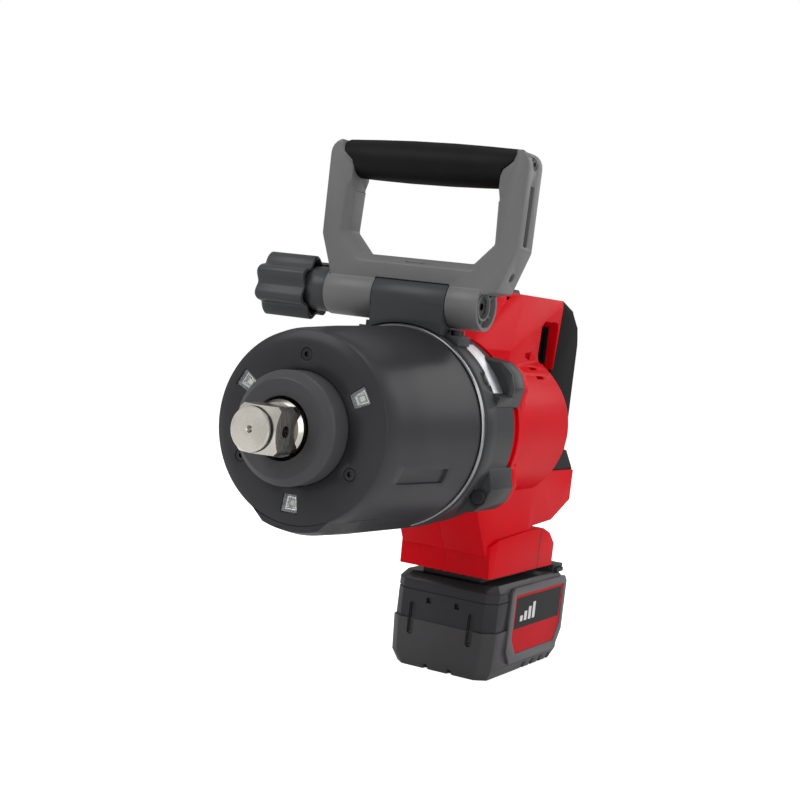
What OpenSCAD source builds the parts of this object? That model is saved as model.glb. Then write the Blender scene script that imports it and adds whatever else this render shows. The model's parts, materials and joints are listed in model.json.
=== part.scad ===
// Cordless impact wrench with a one-inch square drive, a loop handle over the
// gear case, a D-handle at the rear and a slide-on battery that it stands on.
// The origin is the middle of the battery's underside. +X is the tool's left
// side, -Y is the way the anvil points and +Z is up. Sizes are millimetres.

/* [Overall] */
// Height of the anvil axis above the ground
axis_h = 169; // [150:1:200]
// Distance from the battery's middle forward to the nose face
nose_reach = 274; // [255:1:300]

/* [Anvil] */
// Square drive across its flats
drive_af = 25.4; // [19:0.1:32]
// Radius of the anvil's round shaft
shaft_r = 15.6; // [13.5:0.1:17]
// How far the anvil stands out of the nose face
anvil_out = 47.5; // [42:0.5:60]
// Length of the round nub at the anvil's tip
nub_len = 5; // [4:0.5:8]
// Radius of the hole that takes a socket's retaining pin
pin_hole_r = 3.2; // [2:0.1:4]
// Radius of the anvil's jaws
jaw_r = 40; // [34:1:43]

/* [Nose] */
// Radius of the flat face of the nose
nose_flat_r = 47.3; // [44:0.5:50]
// Radius of the nose cover at its front edge
cover_front_r = 53.7; // [50:0.5:58]
// Radius of the nose cover where it meets the retaining ring
cover_back_r = 60.5; // [56:0.5:64]
// Length of the nose cover
cover_len = 105; // [90:1:125]
// Wall of the nose cover
cover_wall = 2.6; // [2:0.1:4]
// Outer radius of the boss round the anvil
boss_r = 31.4; // [27:0.2:33]
// How far the boss stands out of the nose face
boss_out = 18; // [12:0.5:22]
// Radius of the circle of nose screws
screw_circle_r = 40.3; // [38.5:0.1:42]
// Radius of the circle of lamps
lamp_circle_r = 41.4; // [40:0.1:43]
// How far the flat chin hangs below the anvil axis
chin_drop = 62.6; // [60:0.2:68]

/* [Gear case] */
// Bore of the gear case behind the hammer
case_bore_r = 50; // [48:0.5:52]
// Radius of the boot's band behind the retaining ring
boot_r = 62.6; // [61:0.2:66]
// Wall of the boot's band
boot_wall = 3.4; // [2.4:0.2:5]
// Distance from the nose face to the back of the gear case
case_len = 152; // [140:1:170]
// Radius of the circle of gear case screws
lug_circle_r = 64.4; // [62:0.2:68]
// Angle of each gear case screw above or below the side
lug_angle = 34; // [28:1:42]

/* [Hammer mechanism] */
// Radius of the hammer
hammer_r = 44; // [40:0.5:47]
// Radius of the camshaft
cam_r = 13; // [10:0.5:14.5]
// How far the hammer can draw back
hammer_travel = 11; // [6:0.5:13]
// Wire radius of the hammer spring
spring_wire_r = 2.4; // [1.6:0.1:3]
// Radius of the hammer spring's coil
spring_coil_r = 28; // [24:0.5:31]

/* [Planet gears] */
// Gear module
gear_m = 1.5; // [1.2:0.05:1.6]
// Width of the gear teeth
gear_w = 14; // [10:0.5:15]

/* [Motor] */
// Radius of the stator
stator_r = 38; // [32:0.5:42]
// Length of the stator
stator_len = 54; // [40:1:60]
// Radius of the rotor
rotor_r = 19.5; // [16:0.5:22]
// Radius of the motor shaft
motor_shaft_r = 5; // [4:0.2:6]
// Radius of the fan
fan_r = 36; // [30:0.5:42]

/* [Housing] */
// Radius of the housing round the motor
drum_r = 52; // [49:0.5:58]
// Wall of the housing
shell = 3; // [2.4:0.2:4]
// Half of the width of the grip and the bridge
grip_half = 18; // [16:0.5:22]
// Half of the width of the neck above the battery
neck_half = 30; // [28:0.5:34]
// Half of the width of the foot
foot_half = 34; // [32:0.5:37]
// Height of the bridge's top above the anvil axis
bridge_top = 90; // [84:1:100]
// Distance from the nose face back to the grip's front
grip_front = 305; // [300:1:318]
// Depth of the grip, front to back
grip_depth = 50; // [44:1:58]
// Thickness of the rubber on the grip
rubber_t = 2.4; // [1.6:0.2:4]

/* [Trigger] */
// Half of the trigger's width
trigger_half = 8.5; // [7:0.5:10]
// Length of the trigger, top to bottom
trigger_len = 38; // [30:1:44]
// How far the trigger stands out of the grip
trigger_out = 13; // [10:0.5:15]
// How far the trigger travels
trigger_travel = 6; // [4:0.5:8]

/* [Loop handle] */
// Height of the handle's pivot above the anvil axis
pivot_z = 77.4; // [77:0.2:86]
// Distance of the handle's pivot behind the nose face
pivot_y = 122; // [118:0.5:126]
// Radius of the sleeves round the pivot
sleeve_r = 14.7; // [12:0.1:15]
// Half of the length of the fixed middle sleeve
mid_half = 25; // [20:0.5:30]
// Half of the loop's outer width
loop_half = 66.5; // [60:0.5:76]
// Height of the loop's top above the anvil axis
loop_top = 171; // [160:1:190]
// Depth of the loop, front to back
loop_depth = 22; // [18:0.5:26]
// Width of the loop's side legs
leg_w = 17.5; // [14:0.5:20]
// Radius of the rubber grip on the loop
loop_grip_r = 13; // [12:0.2:15]
// Radius of the handle bolt
bolt_r = 5; // [4:0.5:6]
// Radius of the clamping knob
knob_r = 20.5; // [18:0.5:23]

/* [Battery] */
// Half of the battery's width
pack_half = 38.5; // [36:0.5:44]
// Half of the battery's length
pack_half_len = 64.6; // [62:0.5:72]
// Height of the battery's shoulders
pack_h = 64.3; // [62:0.5:76]
// Wall of the battery case
pack_wall = 2.4; // [1.8:0.2:3]
// Radius of one cell
cell_r = 9.2; // [8:0.1:9.6]
// Length of one cell
cell_len = 65; // [60:0.5:67]
// Half of the width of the slide rails
rail_half = 25; // [22:0.5:27]

/* [Hidden] */
$fn = 48;
eps = 0.01;
fit = 0.3;                 // gap between round pieces of different bodies
run = 0.05;                // running clearance of a shaft in its bearing

// gear train: these tooth counts let three evenly spaced planets mesh at rest
sun_teeth = 12;
planet_teeth = 15;
ring_teeth = sun_teeth + 2 * planet_teeth;
gear_centre = gear_m * (sun_teeth + planet_teeth) / 2;
ring_pitch_r = gear_m * ring_teeth / 2;
backlash = 0.22;
carrier_r = ring_pitch_r - gear_m * 1.25;
planet_angles = [90, 210, 330];

// stations behind the nose face, front to back
bushing_r = 19;
disc_t = 5;
board_t = 1.6;
case_front = disc_t + board_t + 1.4;
case_wall = 9;
anvil_flange = case_front + case_wall + 5;
flange_t = 8;
jaw_back = anvil_flange + flange_t + 16;
hammer_front = jaw_back + 1.5;
hammer_len = 46;
hammer_back = hammer_front + hammer_len;
hammer_jaw = 12;
ring_y = cover_len + 0.5;
ring_len = 3;
band_y = ring_y + ring_len;
carrier_front = hammer_back + hammer_travel + 4;
carrier_plate = 4;
ear_t = 6;                 // thickness of the metal ears
gear_y = carrier_front + carrier_plate + 1;
carrier_back = gear_y + gear_w + 1;
plate_y = carrier_back + carrier_plate + 2;
plate_len = 14;
flange_y = case_len + 8;   // where the red housing starts at the lugs
stator_y = 174;
stator_end = stator_y + stator_len;
fan_y = stator_end + 6;
fan_len = 11;
rear_bearing_y = fan_y + fan_len + 2;
bearing_len = 8;
drum_end = 280;
opening_front = 265;
grip_back = grip_front + grip_depth;
grip_low = -20;            // where the grip meets the lower block
opening_top = bridge_top - 16;
block_half = neck_half + 2;
block_top = -31;
block_end = 347;
foot_top = -72;
foot_bottom = -99;
foot_front = 205;
foot_end = 316;

// outline of one gear, as points on involute-like flanks
function tooth_pt(r, a) = [r * cos(a), r * sin(a)];
function flank_half(z, m, r, thin) =
    let (rp = z * m / 2,
         half = (m * PI / 4 - thin / 2) / rp * 180 / PI,
         lean = 20)
    half - (r - rp) * tan(lean) / rp * 180 / PI;
function gear_pts(z, m, add, ded, thin) =
    let (rp = z * m / 2, ra = rp + add, rf = rp - ded)
    [for (i = [0 : z - 1], j = [0 : 3])
        let (side = j < 2 ? -1 : 1,
             r = (j == 1 || j == 2) ? ra : rf,
             a = i * 360 / z + side * flank_half(z, m, r, thin))
        tooth_pt(r, a)];

// helix for the hammer spring: rings of points swept along a coil
function coil_pt(coil_r, wire_r, pitch, turns, k, steps, j, sides) =
    let (a = 360 * turns * k / steps,
         w = 360 * j / sides,
         r = coil_r + wire_r * cos(w))
    [r * cos(a), r * sin(a), pitch * turns * k / steps + wire_r * sin(w)];

// everything above the battery is placed from the middle of the nose face
module tool() translate([0, -nose_reach, axis_h]) children();

// a turned piece on the anvil axis: points are [radius, distance behind the nose]
module lathe(points) rotate([-90, 0, 0]) rotate_extrude($fn = 96) polygon(points);

// a bar along Y from y0 to y1
module rod(r, y0, y1, x = 0, z = 0)
    translate([x, y0, z]) rotate([-90, 0, 0]) cylinder(r = r, h = y1 - y0);

// a ring along Y
module tube(ro, ri, y0, y1, x = 0, z = 0) difference() {
    rod(ro, y0, y1, x, z);
    rod(ri, y0 - 1, y1 + 1, x, z);
}

// a bar along X from x0 to x1
module cross_rod(r, x0, x1, y, z)
    translate([x0, y, z]) rotate([0, 90, 0]) cylinder(r = r, h = x1 - x0);

// a front outline [x, z] made into a plate from y0 to y1
module front_plate(y0, y1)
    translate([0, y1, 0]) rotate([90, 0, 0]) linear_extrude(y1 - y0) children();

// a side outline [y, z] made into a plate from x0 to x1
module side_plate(x0, x1)
    translate([x0, 0, 0]) rotate([90, 0, 90]) linear_extrude(x1 - x0) children();

module both_sides() {
    children();
    mirror([1, 0, 0]) children();
}

// places children at an angle and radius round the anvil axis, seen from the front
module round_axis(r, a) translate([r * cos(a), 0, r * sin(a)]) children();

// ---------------------------------------------------------------- nose

module chin_outline(low, half_low, half_top)
    polygon([[-half_top, -40], [-half_top, -48], [-half_low, -low],
             [half_low, -low], [half_top, -48], [half_top, -40]]);

module lamp_outline(grow = 0)
    polygon([[-4.2 - grow, -5.2 - grow], [4.2 + grow, -5.2 - grow],
             [5.3 + grow, 5.2 + grow], [-5.3 - grow, 5.2 + grow]]);

module nose_cover() color("dimgray") tool() difference() {
    union() {
        lathe([[boss_r + fit, 0], [nose_flat_r, 0], [cover_front_r, 2.4],
               [cover_front_r + 1.4, 9], [cover_front_r + 3.6, 40],
               [cover_back_r - 0.6, cover_len - 8], [cover_back_r, cover_len],
               [boss_r + fit, cover_len]]);
        hull() {
            front_plate(2.6, 3.6) chin_outline(58, 14, 24);
            front_plate(30, cover_len) chin_outline(chin_drop, 18, 30);
        }
    }
    lathe([[0, disc_t], [nose_flat_r, disc_t], [cover_front_r - cover_wall, disc_t + 3],
           [cover_front_r + 3.6 - cover_wall, 40], [cover_back_r - 0.6 - cover_wall, cover_len - 8],
           [cover_back_r - cover_wall, cover_len - 2], [cover_back_r - cover_wall, cover_len + 1],
           [0, cover_len + 1]]);
    for (a = [30, 150, 270])
        rotate([0, 90 - a, 0]) front_plate(-1, disc_t + 1)
            translate([0, lamp_circle_r]) lamp_outline();
    for (a = [90, 210, 330]) round_axis(screw_circle_r, a) {
        rod(3.6, -1, 2.6);
        rod(2.1, 0, disc_t + 1);
    }
    // long shallow slot in each flank
    both_sides() rotate([0, 21, 0]) translate([cover_front_r + 0.9, 25, -4.5]) rotate(-2.9) cube([8, 51, 9]);
}

module nose_boss() color([0.26, 0.26, 0.27]) tool() difference() {
    lathe([[17.4, -boss_out], [boss_r - 4.6, -boss_out], [boss_r, -boss_out + 4.6],
           [boss_r, case_front - 0.4], [17.4, case_front - 0.4]]);
    lathe([[0, -boss_out + 5.5], [24.3, -boss_out + 5.5], [24.3, case_front], [0, case_front]]);
}

module nose_screws() color("black") tool()
    for (a = [90, 210, 330]) round_axis(screw_circle_r, a) difference() {
        union() {
            rod(3.3, 0.5, 2.6);
            rod(1.9, 2.5, case_front + 7);
        }
        rod(1.5, 0, 2);
    }

module led_lenses() color([0.85, 0.9, 0.92, 0.5]) tool()
    for (a = [30, 150, 270]) rotate([0, 90 - a, 0])
        translate([0, 0, lamp_circle_r]) difference() {
            front_plate(0.6, disc_t + 0.3) lamp_outline(-0.25);
            front_plate(2.2, disc_t + 1) lamp_outline(-1.6);
        }

module led_board() color("darkgreen") tool() {
    difference() {
        tube(nose_flat_r, boss_r + 2, disc_t + 0.4, disc_t + 0.4 + board_t);
        for (a = [90, 210, 330]) round_axis(screw_circle_r, a) rod(2.4, 0, 20);
    }
    for (a = [30, 150, 270]) round_axis(lamp_circle_r, a)
        translate([-1.8, disc_t - 1.1, -1.8]) cube([3.6, 1.6, 3.6]);
}

// ---------------------------------------------------------------- gear case

// outline of one metal ear, which takes a gear case screw
module ear_outline(grow = 0) polygon([[case_bore_r + 4, -5.4 - grow], [lug_circle_r, -5.4 - grow],
    [lug_circle_r + 4.6 + grow, 0], [lug_circle_r, 5.4 + grow], [case_bore_r + 4, 5.4 + grow]]);

module hammer_case() color("silver") tool() difference() {
    union() {
        lathe([[bushing_r, -11], [24, -11], [24, case_front], [nose_flat_r, case_front],
               [cover_front_r - cover_wall - 0.4, case_front + 4],
               [cover_front_r + 3.2 - cover_wall, 40],
               [cover_back_r - 1 - cover_wall, cover_len - 8],
               [cover_back_r - 0.4 - cover_wall, ring_y], [boot_r - boot_wall - 0.2, ring_y],
               [boot_r - boot_wall - 0.2, case_len], [case_bore_r, case_len],
               [case_bore_r, gear_y - 6], [case_bore_r - 3, gear_y - 9],
               [case_bore_r - 3, case_front + case_wall + 6], [case_bore_r - 8, case_front + case_wall],
               [22, case_front + case_wall], [22, case_front + case_wall + 2],
               [bushing_r, case_front + case_wall + 2]]);
        front_plate(case_len - ear_t, case_len) each_lug() ear_outline();
    }
    rod(case_bore_r, gear_y - 6, case_len + 1, $fn = 96);
    for (a = [90, 210, 330]) round_axis(screw_circle_r, a) rod(2, 0, case_front + 7.5);
    both_sides() for (s = [1, -1]) round_axis(lug_circle_r, s * lug_angle)
        rod(2.6, case_len - 10, case_len + 1);
    both_sides() translate([base_bolt_x, pivot_y, base_bolt_tip - 0.5])
        cylinder(r = base_bolt_r, h = 30);
}

module retaining_ring() color("lightgray") tool() difference() {
    lathe([[cover_back_r - 0.2 - cover_wall, ring_y + 0.1], [cover_back_r + 0.6, ring_y + 0.1],
           [cover_back_r + 1.2, ring_y + 0.8], [cover_back_r + 1.2, band_y - 0.1],
           [cover_back_r - 0.2 - cover_wall, band_y - 0.1]]);
    lathe([[0, ring_y - 1], [boot_r - boot_wall, ring_y - 1],
           [boot_r - boot_wall, band_y + 1], [0, band_y + 1]]);
}

// repeats an outline at the four gear case screws
module each_lug() both_sides() for (s = [1, -1]) rotate(s * lug_angle) children();

// a slice of a disc between two angles, to cut windows with
module sector(a0, a1) polygon([[30 * cos(a0), 30 * sin(a0)], [90 * cos(a0), 90 * sin(a0)],
    [90 * cos(a1), 90 * sin(a1)], [30 * cos(a1), 30 * sin(a1)]]);

module lug_outline() {
    each_lug()
        polygon([[boot_r - 9, -17], [boot_r - 3.2, -17.4], [lug_circle_r + 4, -9],
                 [lug_circle_r + 6.4, 0], [lug_circle_r + 4, 9],
                 [boot_r - 3.2, 17.4], [boot_r - 9, 17]]);
}

module boot_solid() {
    lathe([[boot_r - boot_wall, band_y], [boot_r - 1.4, band_y], [boot_r, band_y + 1.4],
           [boot_r, band_y + 17], [boot_r - 1, band_y + 19],
           [boot_r - 1, case_len], [boot_r - boot_wall, case_len]]);
    front_plate(case_len - 8, flange_y - 0.3) lug_outline();
    // the lower lugs reach forward to the band
    front_plate(band_y + 18, case_len - 7) intersection() {
        lug_outline();
        translate([-100, -100]) square([200, 100 - 14]);
    }
    // legs beside the windows of the upper lugs
    front_plate(band_y + 16, case_len - 7) both_sides() rotate(lug_angle)
        polygon([[boot_r - 9, -17], [boot_r - 3.2, -17.4], [boot_r + 2.5, -13.4],
                 [boot_r - 1, -9], [boot_r - 9, -9]]);
}

module gearcase_boot() color([0.3, 0.3, 0.31]) tool() difference() {
    boot_solid();
    rod(boot_r - boot_wall, 0, flange_y + 1, $fn = 96);
    // windows onto the metal case, between the band and the upper lugs
    front_plate(band_y + 17, case_len - 8) both_sides() sector(25.4, 61);
    // the metal ears and their screws
    front_plate(case_len - ear_t - 0.2, flange_y + 1) each_lug() ear_outline(0.3);
    both_sides() for (s = [1, -1]) round_axis(lug_circle_r, s * lug_angle)
        rod(4.7, band_y + 10, case_len - ear_t + 1);
    both_sides() translate([base_bolt_x, pivot_y, 30]) cylinder(r = base_bolt_r + 0.3, h = 40);
}

module case_screws() color("dimgray") tool()
    both_sides() for (s = [1, -1]) round_axis(lug_circle_r, s * lug_angle) difference() {
        union() {
            rod(4.2, case_len - ear_t - 4.2, case_len - ear_t);
            rod(2.4, case_len - ear_t - 1, flange_y + 8);
        }
        rod(2, case_len - ear_t - 5, case_len - ear_t - 2, $fn = 6);
    }

// ---------------------------------------------------------------- anvil and hammer

anvil_bore_r = 9;
square_front = -anvil_out + nub_len;
square_back = -boss_out - 4;
nub_r = drive_af / 2 - 0.7;
ring_groove_y = square_front + 3.6;

module anvil() color("gainsboro") tool() difference() {
    union() {
        lathe([[0, -anvil_out], [nub_r - 0.8, -anvil_out], [nub_r, -anvil_out + 0.8],
               [nub_r, square_front + 1], [0, square_front + 1]]);
        // square drive with its corners turned off
        intersection() {
            translate([-drive_af / 2, square_front, -drive_af / 2])
                cube([drive_af, anvil_out - nub_len + 2, drive_af]);
            lathe([[0, square_front], [nub_r, square_front], [shaft_r + 0.9, square_front + 4],
                   [shaft_r + 0.9, square_back - 3], [shaft_r, square_back + 1],
                   [shaft_r, 2], [0, 2]]);
        }
        lathe([[0, square_back], [shaft_r - 1.6, square_back], [shaft_r, square_back + 2.6],
               [shaft_r, anvil_flange], [24, anvil_flange], [24, anvil_flange + flange_t],
               [0, anvil_flange + flange_t]]);
        // two jaws that the hammer strikes
        intersection() {
            tube(jaw_r, 8, anvil_flange + 1, jaw_back);
            for (a = [0, 180]) rotate([0, a, 0]) front_plate(anvil_flange, jaw_back + 1)
                polygon([[0, -9], [jaw_r + 4, -13], [jaw_r + 4, 13], [0, 9]]);
        }
        rod(15, anvil_flange, jaw_back);
    }
    rod(anvil_bore_r + run, jaw_back - 22, jaw_back + 1);
    cross_rod(pin_hole_r, -20, 20, square_front + 10, 0);
    // centre drilling in the tip
    translate([0, -anvil_out - 1, 0]) rotate([-90, 0, 0]) cylinder(r1 = 2.6, r2 = 0.6, h = 3.2);
    // groove of the socket-retaining ring
    tube(20, nub_r - 1.6, -anvil_out + 2.2, -anvil_out + 4.4);
    tube(shaft_r + 2, shaft_r - 1.6, 12, 15);
}

module friction_ring() color("gray") tool() difference() {
    tube(nub_r + 0.15, nub_r - 1.3, -anvil_out + 2.5, -anvil_out + 4.1);
    translate([-1, -anvil_out, -20]) cube([2, 8, 20]);
}

// flanged bushing; its flange also takes the thrust of the anvil
module anvil_bushing() color("darkgoldenrod") tool() {
    tube(bushing_r - eps, shaft_r + run, -6, anvil_flange - 1);
    tube(21.6, shaft_r + run, case_front + case_wall + 2.1, anvil_flange - fit);
}

module shaft_seal() color("black") tool()
    tube(18.8, shaft_r + 0.25, -10.6, -6.4);

module anvil_o_ring() color("black") tool()
    rotate([-90, 0, 0]) rotate_extrude($fn = 64) translate([shaft_r - 0.8, 13.5]) circle(r = 0.75, $fn = 16);

module hammer() color("slategray") tool() difference() {
    union() {
        lathe([[cam_r + run, hammer_front], [hammer_r - 2, hammer_front], [hammer_r, hammer_front + 2],
               [hammer_r, hammer_back - 3], [hammer_r - 3, hammer_back], [cam_r + run, hammer_back]]);
        // two jaws that strike the anvil's
        intersection() {
            tube(jaw_r + 2, 18, hammer_front - hammer_jaw, hammer_front + 1);
            for (a = [90, 270]) rotate([0, a, 0]) front_plate(hammer_front - hammer_jaw - 1, hammer_front + 2)
                polygon([[0, -8], [jaw_r + 6, -14], [jaw_r + 6, 14], [0, 8]]);
        }
    }
    // spring pocket
    tube(spring_coil_r + spring_wire_r + 1.2, spring_coil_r - spring_wire_r - 1.2,
         hammer_front + 14, hammer_back + 1);
    // ball tracks
    for (a = [0, 180]) rotate([0, a, 0]) rod(3.4, hammer_front - 1, hammer_front + 20, cam_r + 1.2, 0);
}

spring_y = hammer_front + 14 + spring_wire_r;
spring_end = carrier_front - spring_wire_r;
spring_turns = 5;
spring_steps = 100;
spring_sides = 6;
spring_pitch = (spring_end - spring_y) / spring_turns;

module hammer_spring() color("steelblue") tool() translate([0, spring_y, 0]) rotate([-90, 0, 0])
    polyhedron(
        points = [for (k = [0 : spring_steps], j = [0 : spring_sides - 1])
            coil_pt(spring_coil_r, spring_wire_r - 0.1, spring_pitch, spring_turns, k,
                    spring_steps, j, spring_sides)],
        faces = concat(
            [[for (j = [0 : spring_sides - 1]) j]],
            [for (k = [0 : spring_steps - 1], j = [0 : spring_sides - 1])
                let (a = k * spring_sides + j,
                     b = k * spring_sides + (j + 1) % spring_sides)
                [a, a + spring_sides, b + spring_sides, b]],
            [[for (j = [spring_sides - 1 : -1 : 0]) spring_steps * spring_sides + j]]));

module cam_balls() color("white") tool()
    for (a = [0, 180]) rotate([0, a, 0]) translate([cam_r + 0.6, hammer_front + 15, 0]) sphere(r = 2.6, $fn = 24);

module camshaft() color("gray") tool() difference() {
    union() {
        rod(anvil_bore_r, jaw_back - 18, hammer_front);
        lathe([[0, hammer_front - 1], [cam_r - 1, hammer_front - 1], [cam_r, hammer_front],
               [cam_r, carrier_front + 1], [0, carrier_front + 1]]);
        rod(carrier_r, carrier_front, carrier_front + carrier_plate);
        tube(carrier_r, gear_m * sun_teeth / 2 + 3, carrier_back, carrier_back + carrier_plate);
        // webs between the planets join the two plates
        for (a = planet_angles) rotate([0, -(a + 60), 0]) front_plate(carrier_front + 1, carrier_back + 1)
            polygon([[13.5, -2.4], [carrier_r - 1, -7], [carrier_r - 1, 7], [13.5, 2.4]]);
    }
    for (a = [0, 180]) rotate([0, a, 0]) translate([cam_r + 0.6, hammer_front + 15, 0])
        sphere(r = 2.9, $fn = 24);
    for (a = planet_angles) round_axis(gear_centre, a)
        rod(3.5, carrier_front - 1, carrier_back + carrier_plate + 1);
}

module planet_pins() color("lightsteelblue") tool()
    for (a = planet_angles) round_axis(gear_centre, a)
        rod(3.5 - eps, carrier_front, carrier_back + carrier_plate);

// One planet. A tooth gap faces the sun, so that it is in mesh at rest.
module planet_gear(a) color("silver") tool() round_axis(gear_centre, a) difference() {
    translate([0, gear_y, 0]) rotate([-90, 0, 0]) rotate(-(a + 180 + 180 / planet_teeth))
        linear_extrude(gear_w)
            polygon(gear_pts(planet_teeth, gear_m, gear_m * 0.8, gear_m * 1.05, backlash));
    rod(3.5 + run, gear_y - 1, gear_y + gear_w + 1);
}

module planet_gear_1() planet_gear(planet_angles[0]);
module planet_gear_2() planet_gear(planet_angles[1]);
module planet_gear_3() planet_gear(planet_angles[2]);

module ring_gear() color("darkgray") tool() difference() {
    rod(case_bore_r - 0.05, gear_y - 2, gear_y + gear_w + 2, $fn = 96);
    translate([0, gear_y - 3, 0]) rotate([-90, 0, 0]) rotate(180 / ring_teeth)
        linear_extrude(gear_w + 6)
            polygon(gear_pts(ring_teeth, gear_m, gear_m * 1.05, gear_m * 0.8, -backlash));
}

// ---------------------------------------------------------------- gear plate and motor

front_bearing_r = 13;

module gear_plate() color("silver") tool() difference() {
    union() {
        rod(case_bore_r - 0.1, plate_y, plate_y + 6, $fn = 96);
        rod(front_bearing_r + 5, plate_y, plate_y + plate_len);
        tube(case_bore_r - 0.1, case_bore_r - 6, plate_y, case_len);
    }
    rod(front_bearing_r, plate_y + 3, plate_y + plate_len + 1);
    rod(gear_m * sun_teeth / 2 + 2.5, plate_y - 1, plate_y + 5);
}

module ball_bearing(y, ro, ri) difference() {
    tube(ro, ri, y, y + bearing_len);
    tube(ro - 2, ri + 2, y - 1, y + 0.8);
    tube(ro - 2, ri + 2, y + bearing_len - 0.8, y + bearing_len + 1);
}

module front_bearing() color("lightgray") tool()
    ball_bearing(plate_y + 3.2, front_bearing_r - eps, motor_shaft_r + 0.8 + run);

module rear_bearing() color("lightgray") tool()
    ball_bearing(rear_bearing_y, front_bearing_r - 2, motor_shaft_r + run);

module rotor() color("gray") tool() {
    rod(motor_shaft_r + 0.8, gear_y + gear_w - 1, stator_y + 2);
    rod(motor_shaft_r, stator_y, rear_bearing_y + bearing_len);
    difference() {
        rod(rotor_r, stator_y + 2, stator_end - 2);
        for (a = [0 : 60 : 300]) round_axis(rotor_r - 5, a) rod(2.4, stator_y + 1, stator_y + 5);
    }
    translate([0, gear_y, 0]) rotate([-90, 0, 0]) linear_extrude(gear_w)
        polygon(gear_pts(sun_teeth, gear_m, gear_m * 0.8, gear_m * 1.05, backlash));
}

module stator() color("darkslategray") tool() difference() {
    rod(stator_r, stator_y, stator_end, $fn = 96);
    rod(rotor_r + 0.7, stator_y - 1, stator_end + 1);
    for (a = [0 : 60 : 300]) rotate([0, a, 0]) front_plate(stator_y - 1, stator_end + 1)
        polygon([[rotor_r + 3, -3.4], [stator_r - 5, -7.4], [stator_r - 5, 7.4], [rotor_r + 3, 3.4]]);
}

module stator_coils() color("peru") tool()
    for (a = [0 : 60 : 300]) rotate([0, a, 0]) front_plate(stator_y - 3, stator_end + 3) for (s = [1, -1])
        scale([1, s]) polygon([[rotor_r + 3.4, 0.7], [rotor_r + 3.4, 3.1], [stator_r - 5.4, 6.9], [stator_r - 5.4, 0.7]]);

module fan() color("dimgray") tool() {
    difference() {
        union() {
            rod(11, fan_y, fan_y + fan_len);
            rod(fan_r, fan_y, fan_y + 2.2);
        }
        rod(motor_shaft_r + eps, fan_y - 1, fan_y + fan_len + 1);
    }
    for (a = [0 : 30 : 330]) rotate([0, a, 0])
        translate([10.6, fan_y + 2, -0.9]) cube([fan_r - 11, fan_len - 3, 1.8]);
}

// ---------------------------------------------------------------- housing

// side outline of the grip, rubber included
module grip_outline()
    offset(r = 5, $fn = 24) offset(delta = -5)
        polygon([[grip_front, grip_low - 14], [grip_front, bridge_top],
                 [grip_front + 8, bridge_top], [grip_back - 22, bridge_top - 6],
                 [grip_back - 8, bridge_top - 18], [grip_back - 1, bridge_top - 38],
                 [grip_back, 33], [grip_back + 1, grip_low - 14]]);

// plan of the grip with its rounded back corners
module grip_plan(half, inset = 0)
    offset(r = 7, $fn = 24) offset(delta = -7)
        polygon([[-half, grip_front - 12], [half, grip_front - 12],
                 [half, grip_back + 1 - inset], [-half, grip_back + 1 - inset]]);

module drum_outer()
    lathe([[0, case_len + 0.3], [boot_r - boot_wall - 0.4, case_len + 0.3],
           [boot_r - boot_wall - 0.4, flange_y], [boot_r - 1.6, flange_y],
           [boot_r - 2.2, flange_y + 5], [drum_r + 3.4, flange_y + 18], [drum_r + 2.6, flange_y + 28],
           [drum_r, flange_y + 31], [drum_r, drum_end - 16], [drum_r - 3, drum_end - 7],
           [drum_r - 10, drum_end], [0, drum_end]]);

module drum_inner()
    lathe([[0, case_len - 1], [boot_r - boot_wall - 3.6, case_len - 1],
           [boot_r - boot_wall - 3.6, flange_y + 4], [drum_r - shell, flange_y + 22],
           [drum_r - shell, drum_end - 24], [drum_r - shell - 6, opening_front - shell],
           [0, opening_front - shell]]);

// the red ridge behind each boot lug, tapering back into the drum
module lug_ridge(s) hull() {
    front_plate(flange_y, flange_y + 6) rotate(s * lug_angle)
        polygon([[boot_r - 14, -17], [boot_r - 3, -17.2], [lug_circle_r + 3.4, -9],
                 [lug_circle_r + 5.6, 0], [lug_circle_r + 3.4, 9], [boot_r - 3, 17.2], [boot_r - 14, 17]]);
    front_plate(flange_y + 22, flange_y + 29) rotate(s * lug_angle)
        polygon([[drum_r - 12, -13], [drum_r - 1, -12], [drum_r + 1, 0], [drum_r - 1, 12], [drum_r - 12, 13]]);
}

module bridge_outer() hull() {
    translate([0, 0, bridge_top - 2]) linear_extrude(2)
        polygon([[-7, 211], [7, 211], [grip_half, 243], [grip_half, grip_front + 6],
                 [-grip_half, grip_front + 6], [-grip_half, 243]]);
    translate([0, 0, bridge_top - 7]) linear_extrude(4)
        polygon([[-9, 205], [9, 205], [grip_half + 1.2, 241], [grip_half + 1.2, grip_front + 6],
                 [-grip_half - 1.2, grip_front + 6], [-grip_half - 1.2, 241]]);
    translate([0, 0, 40]) linear_extrude(12)
        polygon([[-22, 162], [22, 162], [31, 200], [24, 232], [grip_half + 1.2, 262],
                 [grip_half + 1.2, grip_front], [-grip_half - 1.2, grip_front],
                 [-grip_half - 1.2, 262], [-24, 232], [-31, 200]]);
}

module opening_side() offset(r = 4, $fn = 24) offset(delta = -4)
    polygon([[opening_front + 14, opening_top - 2], [opening_front + 22, opening_top],
             [grip_front, opening_top], [grip_front, grip_low],
             [opening_front + 8, grip_low - 2], [opening_front, grip_low + 8],
             [opening_front, opening_top - 22]]);

// finger opening behind the motor; its pocket in the drum's back is as wide as the grip
module opening_cut() {
    side_plate(-grip_half - 1.5, grip_half + 1.5) opening_side();
    side_plate(-block_half, block_half) intersection() {
        opening_side();
        translate([drum_end, grip_low]) square([grip_depth, 2 * bridge_top]);
    }
}

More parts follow.
